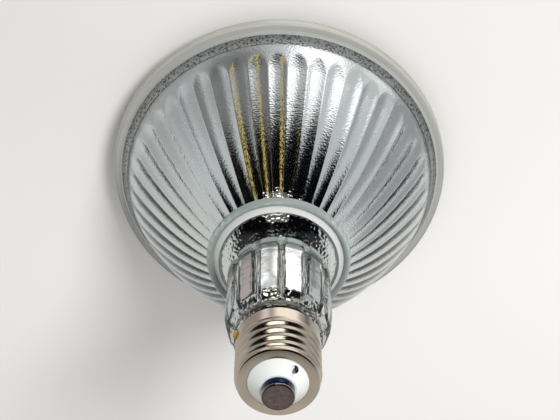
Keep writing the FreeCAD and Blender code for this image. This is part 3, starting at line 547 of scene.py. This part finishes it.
def front_lens():
    """The clear lens: a shallow dome inside a flat foot ring, with a hexagonal field of lenslets within.

    With k = 2 pi / pitch, the lenslets' height is depth/3 times
    cos kx + cos k(x/2 + y sqrt(3)/2) + cos k(x/2 - y sqrt(3)/2), and fades out before the seat.
    """
    angles = column_angles(300)
    dome_radii = np.linspace(0, LENS_DOME, 12)
    outside = profile(np.stack([dome_radii, lens_dome(dome_radii)], 1), (LENS_FOOT_INNER, 0), LENS_EDGE)
    seat = [(LENS_EDGE[-1][0] - 0.1, LENS_TOP - WETTED), (SEAL_INNER, LENS_TOP - WETTED)]
    radii = np.concatenate([[LENS_FOOT_INNER + 2.0], np.linspace(LENS_DOME + 0.6, 0, 62)])[:, None]
    fade = smooth_step(LENS_DOME, LENS_DOME - 3.0, radii)
    turn = np.radians(angles)
    east = 2 * math.pi / LENSLET_PITCH * radii * np.cos(turn)
    north = 2 * math.pi / LENSLET_PITCH * radii * np.sin(turn)
    waves = np.cos(east) + np.cos(east / 2 + north * 3 ** 0.5 / 2) + np.cos(east / 2 - north * 3 ** 0.5 / 2)
    inside = np.minimum(lens_dome(radii) + LENS_WALL, LENS_TOP) + LENSLET_DEPTH / 3 * waves * fade
    parts = [
        (turned(outside, angles), GLASS),
        (turned(seat, angles), SEAL),
        (around(radii, inside, angles), GLASS),
    ]
    return surface("lens", parts, start_pole=True, end_pole=True, crease=25,
                   replaces=("front_lens",))


# Reflector

def bowl_shape():
    """Slope and apex of the bowl's outer parabola: r squared = slope times (apex - height)."""
    slope = (BOWL_START_RADIUS ** 2 - BEAD_RADIUS ** 2) / (BEAD_FOOT - BOWL_START)
    return slope, BOWL_START + BOWL_START_RADIUS ** 2 / slope


def bowl_radius(height):
    """Outer radius of the bowl at a height."""
    slope, apex = bowl_shape()
    return np.sqrt(slope * (apex - height))


def neck_radius(height, angles):
    """Radius of the lobed neck: flat panels, grooves that flare at the bowl's end, and a coned end.

    With q the angle to the nearest groove's middle and w the groove's half width, the groove's radius is
    its floor plus (panel - floor) (q/w) squared. The neck is the least of panel, groove, bevel and cone,
    where the lesser of a and b is blended as (a + b - sqrt((a - b) squared + blend squared)) / 2.
    """
    pitch = 360 / LOBES
    q = np.abs((angles - GROOVE_ANGLE + pitch / 2) % pitch - pitch / 2)
    panel = along(height, PANEL_LINE) * (1 - LOBE_CROWN * (1 - ((pitch / 2 - q) / LOBE_HALF) ** 2))
    width = GROOVE_HALF + GROOVE_SPREAD * (GROOVE_HALF_HEIGHT - height)
    width = width + GROOVE_FLARE * smooth_step(FLARE_START, FLARE_END, height)
    floor = along(height, GROOVE_LINE)
    groove = floor + (panel - floor) * (q / width) ** 2
    radius = panel
    for limit in (groove, along(height, BEVEL_LINE), along(height, CONE_LINE)):
        radius = 0.5 * (radius + limit - np.sqrt((radius - limit) ** 2 + NECK_BLEND ** 2))
    return np.maximum(radius, THROAT_RADIUS)


def mirror_radius(height, angles):
    """Radius of the mirrored inner face: flutes, a ring by the lens, and the start of the bore.

    It is the outer parabola less the wall. A flute's depth is R (2 pi / flutes) tan(tilt) / 4, and its
    bulge depth (1 - u squared) with u from 0 at its middle to 1 at its edge, where the last part e is
    rounded off by (u - 1 + e) squared / e. Raising a plane through the bulges fades them in as arches.
    """
    slope, apex = bowl_shape()
    ring = np.maximum(1 - ((height - MIRROR_RING_HEIGHT) / MIRROR_RING_HALF) ** 2, 0)
    outer = np.sqrt(slope * np.maximum(apex - height, 0))
    plain_radius = np.maximum(outer - BOWL_WALL - MIRROR_RING_DEPTH * ring, NECK_BORE)
    share = ((angles - FLUTE_EDGE_ANGLE) * FLUTES / 360) % 1.0
    depth = plain_radius * (2 * math.pi / FLUTES) * math.tan(math.radians(FLUTE_TILT)) / 4
    across = np.abs(2 * share - 1)
    rounding = np.maximum(across - 1 + FLUTE_EDGE_SOFT, 0) ** 2 / FLUTE_EDGE_SOFT
    bulge = depth * (1 - across ** 2 + rounding)
    hold = depth * (1 - np.clip((height - FLUTE_START) / (FLUTE_FULL - FLUTE_START), 0, 1)) ** 1.5
    hold = hold + depth * smooth_step(FLUTE_END - 1.2, FLUTE_END, height)
    return plain_radius - np.maximum(bulge - hold, 0)


def neck_mirror_radius(height, angles):
    """Radius of the mirror inside the neck: a wall's depth under the lobes, and closing at both ends."""
    lobed = np.minimum(neck_radius(height, angles), NECK_MIRROR_LIMIT) - NECK_WALL
    share = smooth_step(LOBE_START - 1.5, LOBE_START + 2.5, height)
    share = share * smooth_step(NECK_MIRROR_CLOSED, NECK_MIRROR_OPEN, height)
    return NECK_BORE_END + (lobed - NECK_BORE_END) * share


def reflector_glass():
    """The one-piece glass: flange, bowl, bead, plate, lobed neck, spigot, and the fluted mirror inside.

    Its rows run from the seal up the outside and back down the inside, and crowd where the surface bends.
    """
    shares = np.arange(FLUTES)[:, None] + np.array(FLUTE_SHARES)[None, :]
    angles = FLUTE_EDGE_ANGLE + shares.reshape(1, -1) * 360 / FLUTES
    seal_face = [(MIRROR_FOOT[-1][0] + 0.05, FLANGE_FACE + WETTED), (SEAL_OUTER, FLANGE_FACE + WETTED)]
    flange = profile(
        (SEAL_OUTER + 0.02, FLANGE_FACE + WETTED),
        (FLANGE_RADIUS, FLANGE_FACE + 0.3),
        arc_points((FLANGE_RADIUS - 0.8, FLANGE_TOP - 0.8), 0.8, 0, 90, 8),
        (FLANGE_RADIUS - 2.1, FLANGE_TOP),
        (BOWL_START_RADIUS + 0.35, FLANGE_TOP + 0.45),
    )
    bowl_heights = np.linspace(BOWL_START, BEAD_FOOT, 13)[:-1]
    outer_bowl = np.stack([bowl_radius(bowl_heights), bowl_heights], 1)
    bead_half = BEAD_WIDTH / 2
    turn = np.linspace(0, math.pi, 11)
    bead = np.stack([BEAD_RADIUS - bead_half + bead_half * np.cos(turn),
                     BEAD_FOOT + (BEAD_TOP - BEAD_FOOT) * np.sin(turn) + 0.9 * turn / math.pi], 1)
    plate_foot = (BEAD_RADIUS - BEAD_WIDTH - 0.1, BEAD_FOOT + 0.95)
    whole_plate = line_points(plate_foot, (PLATE_RADIUS, PLATE_HEIGHT), 11)
    plate = profile(
        whole_plate[4:],
        line_points((PLATE_RADIUS, PLATE_HEIGHT), (ROOT_RADIUS, PLATE_HEIGHT + 4.0), 4),
        (ROOT_RADIUS, LOBE_START - 1.6),
        (ROOT_RADIUS + 0.4, LOBE_START - 0.1),
    )
    bevel = rows_at((LOBE_START + 0.05, LOBE_START + 0.7, 4), (LOBE_START + 1.2, LOBE_BEVEL_END - 0.4, 6))
    lobes = rows_at((LOBE_BEVEL_END, 103, 9), (103.6, 109.2, 12), (THROAT_END - 0.4, THROAT_END, 1))
    spigot = profile(
        (THROAT_RADIUS - 0.3, THROAT_END),
        (SPIGOT_RADIUS, THROAT_END),
        (SPIGOT_RADIUS, SPIGOT_END),
        (SPIGOT_BORE, SPIGOT_END),
    )
    shoulder = [(SPIGOT_BORE, THROAT_END - 1.8), (NECK_BORE_END, 107.2)]
    bore_end = rows_at((NECK_MIRROR_CLOSED, NECK_MIRROR_OPEN, 5))
    bore = rows_at((103, 84, 9), (83, 76, 8))
    crown = rows_at((CROWN_TOP, FLUTE_END, 10))
    bowl = rows_at((FLUTE_END - 0.4, FLUTE_END - 1.4, 3), (FLUTE_END - 4, FLUTE_FULL + 1, 10),
                   (FLUTE_FULL, FLUTE_START - 0.2, 11))
    ring = rows_at((MIRROR_RING_HEIGHT + MIRROR_RING_HALF, MIRROR_RING_HEIGHT - MIRROR_RING_HALF, 9))
    parts = [
        (turned(seal_face, angles), COMPOUND),
        (turned(flange, angles), FLANGE_GLASS),
        (turned(outer_bowl, angles), GLASS),
        (turned(bead, angles), EDGE_GLASS),
        (turned(whole_plate[:4], angles), FROSTED),
        (turned(plate, angles), GLASS),
        (around(neck_radius(bevel, angles), bevel, angles), EDGE_GLASS),
        (around(neck_radius(lobes, angles), lobes, angles), GLASS),
        (turned(spigot, angles), GLASS),
        (turned(shoulder, angles), COAT_EDGE),
        (around(neck_mirror_radius(bore_end, angles), bore_end, angles), COAT_EDGE),
        (around(neck_mirror_radius(bore, angles), bore, angles), NECK_COAT),
        (around(mirror_radius(crown, angles), crown, angles), CROWN_COAT),
        (around(mirror_radius(bowl, angles), bowl, angles), MIRROR),
        (around(mirror_radius(ring, angles), ring, angles), RING_COAT),
        (turned(MIRROR_FOOT, angles), MIRROR),
    ]
    return surface("reflector_glass", parts, loop=True, crease=18,
                   replaces=("reflector",))


def seal_ring():
    """The compound pressed out round the joint, as a roll that touches the lens and the flange."""
    return surface("seal_ring", [(turned(SEAL_ROLL, column_angles(240)), SEAL)], loop=True, crease=50)


# Screw cap

SHEET = 0.35
COLLAR_RADIUS = 13.2
COLLAR_END = SHELL_TOP + 5.1
THREAD_MEAN = 12.68
THREAD_HALF_DEPTH = 0.5
THREAD_FLATNESS = 0.03
THREAD_PITCH = 3.63
FIRST_CREST = SHELL_TOP + 6.3
LIP_START = SHELL_END - 1.1
LIP_RADIUS = 12.6
LIP_ROUND = 0.6
LIP_INNER = 9.2
CHIP_OFFSET = 8.0
CHIP_ANGLE = 234.3
CHIP_RISE = 1.73


def shell_radius(height, angles):
    """Outer radius of the shell: collar, then a knuckle thread, one pitch a turn, then the lip.

    The thread is half its depth times cos t + k cos 3t, with t a full turn each pitch.
    """
    turns = (height - FIRST_CREST) / THREAD_PITCH - (angles + 90) / 360
    leaving = smooth_step(COLLAR_END - 0.4, COLLAR_END + 1.2, height)
    arriving = smooth_step(LIP_START - 1.2, LIP_START, height)
    plain_radius = COLLAR_RADIUS + (THREAD_MEAN - COLLAR_RADIUS) * leaving
    plain_radius = plain_radius + (LIP_RADIUS - THREAD_MEAN) * arriving
    strength = leaving * (1 - arriving)
    knuckle = np.cos(2 * math.pi * turns) + THREAD_FLATNESS * np.cos(6 * math.pi * turns)
    return plain_radius + THREAD_HALF_DEPTH * strength * knuckle


def screw_shell():
    """The rolled-thread sheet, outside then back along the inside."""
    angles = column_angles(180)
    heights = rows_at((SHELL_TOP + 0.15, SHELL_END, 1), (SHELL_TOP + 0.4, LIP_START, 84))
    outside = around(shell_radius(heights, angles), heights, angles)
    inside = around(shell_radius(heights, angles) - SHEET, heights, angles)[::-1]
    lip = profile(
        arc_points((LIP_RADIUS - LIP_ROUND, SHELL_END - LIP_ROUND), LIP_ROUND, 0, 90, 9),
        (LIP_INNER + 0.15, SHELL_END),
        (LIP_INNER, SHELL_END - 0.15),
        (LIP_INNER, SHELL_END - SHEET),
        (LIP_RADIUS - LIP_ROUND, SHELL_END - SHEET),
        (LIP_RADIUS - SHEET, SHELL_END - LIP_ROUND),
    )
    rim = turned([(COLLAR_RADIUS - SHEET / 2, SHELL_TOP)], angles)
    parts = [(grid, NICKEL) for grid in (outside, turned(lip, angles), inside, rim)]
    return surface("shell", parts, loop=True, crease=40, replaces=("screw_shell",))


# Insulator and contact

def chipped_insulator():
    """Glossy white, with the chip's hollow in painted shade, a hairline from it towards +Y and two small
    specks.
    """
    material, tree, shader = new_material("insulator")
    set_inputs(shader, Roughness=0.1, Coat_Weight=0.5, Coat_Roughness=0.03)
    turn = math.radians(CHIP_ANGLE)
    chip = Vector((CHIP_OFFSET * math.cos(turn), CHIP_OFFSET * math.sin(turn), SHELL_END + CHIP_RISE))
    # Offset from the chip, stretch, reach, softness, raggedness and colour
    marks = [
        # The first two marks are painted shade in the chip's hollow: black in its depth, dark grey beside it
        (chip + Vector((-0.62, -0.1, 0)), (1, 0.85, 1), 1.3, 0.1, 0.4, (0.012, 0.012, 0.012)),
        (chip + Vector((0.1, 0.0, 0)), (1.7, 0.75, 1), 1.1, 0.15, 0.3, (0.13, 0.14, 0.13)),
        (chip + Vector((0.5, 2.1, 0.4)), (6, 0.75, 1), 0.9, 0.25, 0.3, (0.42, 0.42, 0.40)),
        (chip + Vector((12.6, 3.4, 0.3)), (1.3, 0.7, 1), 0.42, 0.2, 0.3, (0.32, 0.33, 0.34)),
        (chip + Vector((9.2, 2.3, 0.3)), (1, 1, 1), 0.3, 0.2, 0.0, (0.6, 0.58, 0.5)),
    ]
    colour = use_group(tree, DRIFT, Colour=(0.70, 0.72, 0.69, 1), Amount=0.04, Scale=120.0)
    for middle, stretch, reach, soft, ragged, mark in marks:
        share = use_group(tree, PATCH, Middle=middle, Stretch=stretch, Reach=reach, Soft=soft, Ragged=ragged)
        colour = blend_colours(tree, share, colour, mark)
    tree.links.new(colour, shader.inputs["Base Color"])
    return material


def heat_tinted_contact():
    """Heat-tinted metal: a blue side with a painted cyan glint, a painted pale highlight at its top edge,
    and a brown-mauve face that darkens to its rim.
    """
    material, tree, shader = new_material("contact")
    set_inputs(shader, Metallic=1.0, Roughness=0.15)
    middle = Vector((0, 0, CONTACT_TOP))
    flat = (1, 1, 0)
    inner = CONTACT_RADIUS - 0.6
    rim = use_group(tree, PATCH, Middle=middle, Stretch=flat, Reach=inner, Soft=0.7, Ragged=0.4)
    face = blend_colours(tree, rim, (0.07, 0.055, 0.05), (0.19, 0.14, 0.14))
    for x, y in ((2.6, 1.0), (-1.4, -2.2), (0.7, 2.5)):
        place = middle + Vector((x, y, 0))
        speck = use_group(tree, PATCH, Middle=place, Stretch=flat, Reach=0.2, Soft=0.15)
        face = blend_colours(tree, speck, face, (0.33, 0.28, 0.28))
    top = use_group(tree, HEIGHT_BAND, Low=CONTACT_TOP - 0.35, High=CONTACT_TOP + 2, Soft=0.05)
    # A painted highlight: a pale band round the side's top edge, just under the face
    edge = use_group(tree, HEIGHT_BAND, Low=CONTACT_TOP - 0.75, High=CONTACT_TOP - 0.06, Soft=0.08)
    # A painted highlight: a bright cyan spot on the blue side
    blue = middle + Vector((-0.9, -CONTACT_RADIUS, -1.7))
    painted_cyan_glint = use_group(tree, PATCH, Middle=blue, Stretch=(1, 1, 1.3), Reach=0.8, Soft=0.9)
    side = blend_colours(tree, painted_cyan_glint, (0.008, 0.028, 0.09), (0.03, 0.17, 0.42))
    colour = blend_colours(tree, top, side, face)
    colour = blend_colours(tree, edge, colour, (0.50, 0.41, 0.37))
    add_drift(tree, shader, colour, amount=0.25, scale=700.0)
    add_grain(tree, shader, Scale=900.0, Depth=0.00005)
    return material


# Stage

TENT = (0.56, 0.58, 0.585)
OPENING = (0.002, 0.002, 0.003)
# What mirrors and glass see, each part over the ones before it: turn, climb, inner and outer reach in
# degrees, and colour
SURROUNDINGS = [
    (180, 35, 40, 95, (0.62, 0.63, 0.60)),
    (112, 0, 8, 40, (0.74, 0.75, 0.73)),
    (92, -18, 10, 27, (0.33, 0.335, 0.355)),
    (-72, -36, 10, 34, (0.36, 0.37, 0.37)),
    (-115, 0, 8, 40, (0.62, 0.63, 0.60)),
    (-28, -14, 4, 26, (0.2, 0.2, 0.2)),
    (24, -20, 8, 22, (1.3, 1.3, 1.3)),
    (0, -80, 20, 45, (0.5, 0.5, 0.5)),
    (150, -38, 12, 32, (0.76, 0.76, 0.74)),
    (63, -31, 4, 15, (0.95, 0.95, 0.94)),
    (84, -56, 3, 8, (0.20, 0.19, 0.18)),
    (-83, -46, 8, 25, (0.45, 0.40, 0.40)),
    (37, -46, 10, 18, (1.5, 1.5, 1.48)),
    (8, -60, 4, 15, (1.8, 1.75, 1.65)),
    (-34, -46, 5, 12, (1.4, 1.4, 1.4)),
]
BRASS = (0.60, 0.47, 0.15)
BRASS_TURN = -12.5
BRASS_HALF_WIDTH = 2.6
BRASS_CLIMBS = (-12, 42)
CARD_PLACE = Vector((8.0, -248.0, 208.0)) * MM
CARD_AIM = Vector((0.0, -13.0, 122.0)) * MM
CARD_HALF = (0.088, 0.028)
CARD_GLOW = 2.6
CAMERA_PLACE = Vector((-1.2, -262.2, 459.0)) * MM
CAMERA_FORWARD = Vector((0.0017, 0.5256, -0.8507))
CAMERA_RIGHT = Vector((-1.0, 0.0, -0.002))
CAMERA_LENS = 90.7
CAMERA_SENSOR = 36.0
OPENING_REACH = (59, 71)
PLAIN_STRENGTH = 0.60
SEEN_STRENGTH = 0.91
FLOOR_REACH = 3.0
# The floor's colours in the photograph's upper and lower part, each at its right and its left, and the
# runs of X and Y in metres over which they change
# Painted shade: the floor is darker in its upper part, towards -Y, and at its left, towards +X
FLOOR_UPPER = ((0.74, 0.73, 0.71), (0.67, 0.655, 0.64))
FLOOR_LOWER = ((0.84, 0.83, 0.81), (0.78, 0.76, 0.745))
FLOOR_ACROSS = (-0.03, 0.14)
FLOOR_DOWN = (-0.08, 0.06)
KEY_PLACE = Vector((-0.44, -0.70, 0.80))
KEY_SIZE = 0.4
KEY_POWER = 10.5


def camera():
    """The photograph's camera: it looks down at the cap, upside down to the floor."""
    data = bpy.data.cameras.new("photo_camera")
    data.lens = CAMERA_LENS
    data.sensor_width = CAMERA_SENSOR
    back = -CAMERA_FORWARD.normalized()
    up = back.cross(CAMERA_RIGHT).normalized()
    right = up.cross(back)
    turn = Matrix((right, up, back)).transposed()
    holder = bpy.data.objects.new("photo_camera", data)
    holder.matrix_world = Matrix.Translation(CAMERA_PLACE) @ turn.to_4x4()
    bpy.context.scene.collection.objects.link(holder)
    bpy.context.scene.camera = holder


def mirrored_rays(tree):
    """1 for a ray that left a mirror or passed through glass, with no matt surface before, otherwise 0."""
    path = add(tree, "ShaderNodeLightPath")
    either = math_node(tree, "MAXIMUM", path.outputs["Is Glossy Ray"], path.outputs["Is Transmission Ray"])
    first = math_node(tree, "LESS_THAN", path.outputs["Diffuse Depth"], 0.5)
    return math_node(tree, "MULTIPLY", either, first)


def floor():
    """The pale floor, in painted shade darker towards -Y and towards +X. Mirrors and glass see the studio's
    lower half in its place.
    """
    mesh = bpy.data.meshes.new("floor")
    corners = np.array([(-1, -1, 0), (1, -1, 0), (1, 1, 0), (-1, 1, 0)]) * FLOOR_REACH
    mesh.from_pydata(corners.tolist(), [], [(0, 1, 2, 3)])
    material, tree, shader = new_material("floor")
    set_inputs(shader, Roughness=0.9, Specular_IOR_Level=0.0)
    split = add(tree, "ShaderNodeSeparateXYZ")
    tree.links.new(object_place(tree), split.inputs[0])
    shares = []
    for axis, (low, high) in (("X", FLOOR_ACROSS), ("Y", FLOOR_DOWN)):
        share = add(tree, "ShaderNodeMapRange", interpolation_type="SMOOTHSTEP")
        set_inputs(share, From_Min=low, From_Max=high)
        tree.links.new(split.outputs[axis], share.inputs["Value"])
        shares.append(share.outputs["Result"])
    across, down = shares
    ends = [blend_colours(tree, across, *colours) for colours in (FLOOR_UPPER, FLOOR_LOWER)]
    tree.links.new(blend_colours(tree, down, *ends), shader.inputs["Base Color"])
    clear = add(tree, "ShaderNodeBsdfTransparent")
    mix = add(tree, "ShaderNodeMixShader")
    tree.links.new(mirrored_rays(tree), mix.inputs[0])
    tree.links.new(shader.outputs[0], mix.inputs[1])
    tree.links.new(clear.outputs[0], mix.inputs[2])
    tree.links.new(mix.outputs[0], tree.nodes["Material Output"].inputs["Surface"])
    mesh.materials.append(material)
    ground = bpy.data.objects.new("floor", mesh)
    bpy.context.scene.collection.objects.link(ground)


def direction(turn, climb):
    """A direction from its turn in degrees, 0 towards -Y and growing towards -X, and its climb."""
    turn = math.radians(turn)
    climb = math.radians(climb)
    return Vector((-math.sin(turn) * math.cos(climb), -math.cos(turn) * math.cos(climb), math.sin(climb)))


def spot(tree, view, middle, inner, outer):
    """1 within inner degrees of a direction, 0 beyond outer degrees, and a smooth fall between them."""
    toward = add(tree, "ShaderNodeVectorMath", operation="DOT_PRODUCT")
    toward.inputs[1].default_value = middle
    tree.links.new(view, toward.inputs[0])
    fall = add(tree, "ShaderNodeMapRange", interpolation_type="SMOOTHSTEP")
    set_inputs(fall, From_Min=math.cos(math.radians(outer)), From_Max=math.cos(math.radians(inner)))
    tree.links.new(toward.outputs["Value"], fall.inputs["Value"])
    return fall.outputs["Result"]


def brass_strip(tree, view):
    """1 on an upright strip of directions, between two climbs."""
    across = add(tree, "ShaderNodeVectorMath", operation="DOT_PRODUCT")
    across.inputs[1].default_value = direction(BRASS_TURN + 90, 0)
    tree.links.new(view, across.inputs[0])
    side = add(tree, "ShaderNodeMapRange", interpolation_type="SMOOTHSTEP")
    width = math.sin(math.radians(BRASS_HALF_WIDTH))
    set_inputs(side, From_Min=1.3 * width, From_Max=0.7 * width)
    tree.links.new(math_node(tree, "ABSOLUTE", across.outputs["Value"]), side.inputs["Value"])
    split = add(tree, "ShaderNodeSeparateXYZ")
    tree.links.new(view, split.inputs[0])
    low, high = (math.sin(math.radians(climb)) for climb in BRASS_CLIMBS)
    above = math_node(tree, "GREATER_THAN", split.outputs["Z"], low)
    below = math_node(tree, "LESS_THAN", split.outputs["Z"], high)
    front = math_node(tree, "LESS_THAN", split.outputs["Y"], 0.0)
    strip = side.outputs["Result"]
    for limit in (above, below, front):
        strip = math_node(tree, "MULTIPLY", strip, limit)
    return strip


def studio_world():
    """Even pale light. Mirrors and glass see the tent and its light and dark parts instead, with a brass
    strip and the dark opening that the camera looks through."""
    world = bpy.data.worlds.new("studio")
    world.use_nodes = True
    bpy.context.scene.world = world
    tree = world.node_tree
    background = tree.nodes["Background"]
    set_inputs(background, Color=(1.0, 1.0, 0.99, 1), Strength=PLAIN_STRENGTH)
    view = add(tree, "ShaderNodeTexCoord").outputs["Generated"]
    colour = TENT
    for turn, climb, inner, outer, part in SURROUNDINGS:
        colour = blend_colours(tree, spot(tree, view, direction(turn, climb), inner, outer), colour, part)
    colour = blend_colours(tree, spot(tree, view, -CAMERA_FORWARD, *OPENING_REACH), colour, OPENING)
    colour = blend_colours(tree, brass_strip(tree, view), colour, BRASS)
    seen = add(tree, "ShaderNodeBackground")
    set_inputs(seen, Strength=SEEN_STRENGTH)
    tree.links.new(colour, seen.inputs["Color"])
    mix = add(tree, "ShaderNodeMixShader")
    tree.links.new(mirrored_rays(tree), mix.inputs[0])
    tree.links.new(background.outputs[0], mix.inputs[1])
    tree.links.new(seen.outputs[0], mix.inputs[2])
    tree.links.new(mix.outputs[0], tree.nodes["World Output"].inputs["Surface"])


def bright_card():
    """A small oval softbox close to the cap, seen by mirrors and glass alone."""
    turn = np.radians(column_angles(48)[0])
    outline = np.stack([CARD_HALF[0] * np.cos(turn), CARD_HALF[1] * np.sin(turn), 0 * turn], 1)
    mesh = bpy.data.meshes.new("card")
    mesh.from_pydata(outline.tolist(), [], [list(range(len(outline)))])
    material, tree, shader = new_material("card_glow")
    glow = add(tree, "ShaderNodeEmission")
    set_inputs(glow, Color=(1, 1, 0.98, 1), Strength=CARD_GLOW)
    clear = add(tree, "ShaderNodeBsdfTransparent")
    mix = add(tree, "ShaderNodeMixShader")
    tree.links.new(mirrored_rays(tree), mix.inputs[0])
    tree.links.new(clear.outputs[0], mix.inputs[1])
    tree.links.new(glow.outputs[0], mix.inputs[2])
    tree.links.new(mix.outputs[0], tree.nodes["Material Output"].inputs["Surface"])
    tree.nodes.remove(shader)
    mesh.materials.append(material)
    card = bpy.data.objects.new("card", mesh)
    aim = (CARD_AIM - CARD_PLACE).to_track_quat("Z", "Y").to_matrix().to_4x4()
    card.matrix_world = Matrix.Translation(CARD_PLACE) @ aim
    bpy.context.scene.collection.objects.link(card)


def key_light():
    """One broad soft lamp in front and to the photograph's right, above the lamp."""
    data = bpy.data.lights.new("key", "AREA")
    data.shape = "DISK"
    data.size = KEY_SIZE
    data.energy = KEY_POWER
    lamp = bpy.data.objects.new("key", data)
    aim = (-KEY_PLACE).to_track_quat("-Z", "Y").to_matrix().to_4x4()
    lamp.matrix_world = Matrix.Translation(KEY_PLACE) @ aim
    lamp.visible_glossy = False
    lamp.visible_transmission = False
    bpy.context.scene.collection.objects.link(lamp)


# The lamp, its other finishes and the stage

front_lens()
seal_ring()
reflector_glass()
screw_shell()
camera()
floor()
studio_world()
key_light()
bright_card()

CAD_FINISHES = {
    "sealing_compound": SEAL,
    "insulator_white": chipped_insulator(),
    "contact_metal": heat_tinted_contact(),
    "solder": stone("solder_and_flux", (0.42, 0.27, 0.045), 0.3, amount=0.45, drift=900.0, coat=0.6),
    "cement": CEMENT,
    "quartz": glass("quartz_tube", (1.0, 1.0, 1.0), index=1.46),
    "alumina": stone("alumina_body", (0.86, 0.85, 0.82), 0.35),
    "niobium": metal("niobium_rod", (0.45, 0.44, 0.43), 0.3),
    "frit": stone("frit_ring", (0.36, 0.33, 0.29), 0.25),
    "tungsten": metal("tungsten_rod", (0.30, 0.30, 0.31), 0.35),
    "nickel_wire": metal("wire", (0.60, 0.57, 0.52), 0.25),
    "molybdenum": metal("foil", (0.42, 0.42, 0.43), 0.2),
    "sleeve_ceramic": stone("sleeve", (0.82, 0.80, 0.75), 0.6),
    "getter_metal": metal("getter_strip", (0.38, 0.37, 0.36), 0.45),
    "shield_aluminium": metal("shield", (0.80, 0.80, 0.80), 0.22),
}
for piece in bpy.data.objects:
    for place in piece.material_slots:
        if place.material and place.material.name in CAD_FINISHES:
            place.material = CAD_FINISHES[place.material.name]
bpy.context.scene.view_settings.view_transform = "Standard"
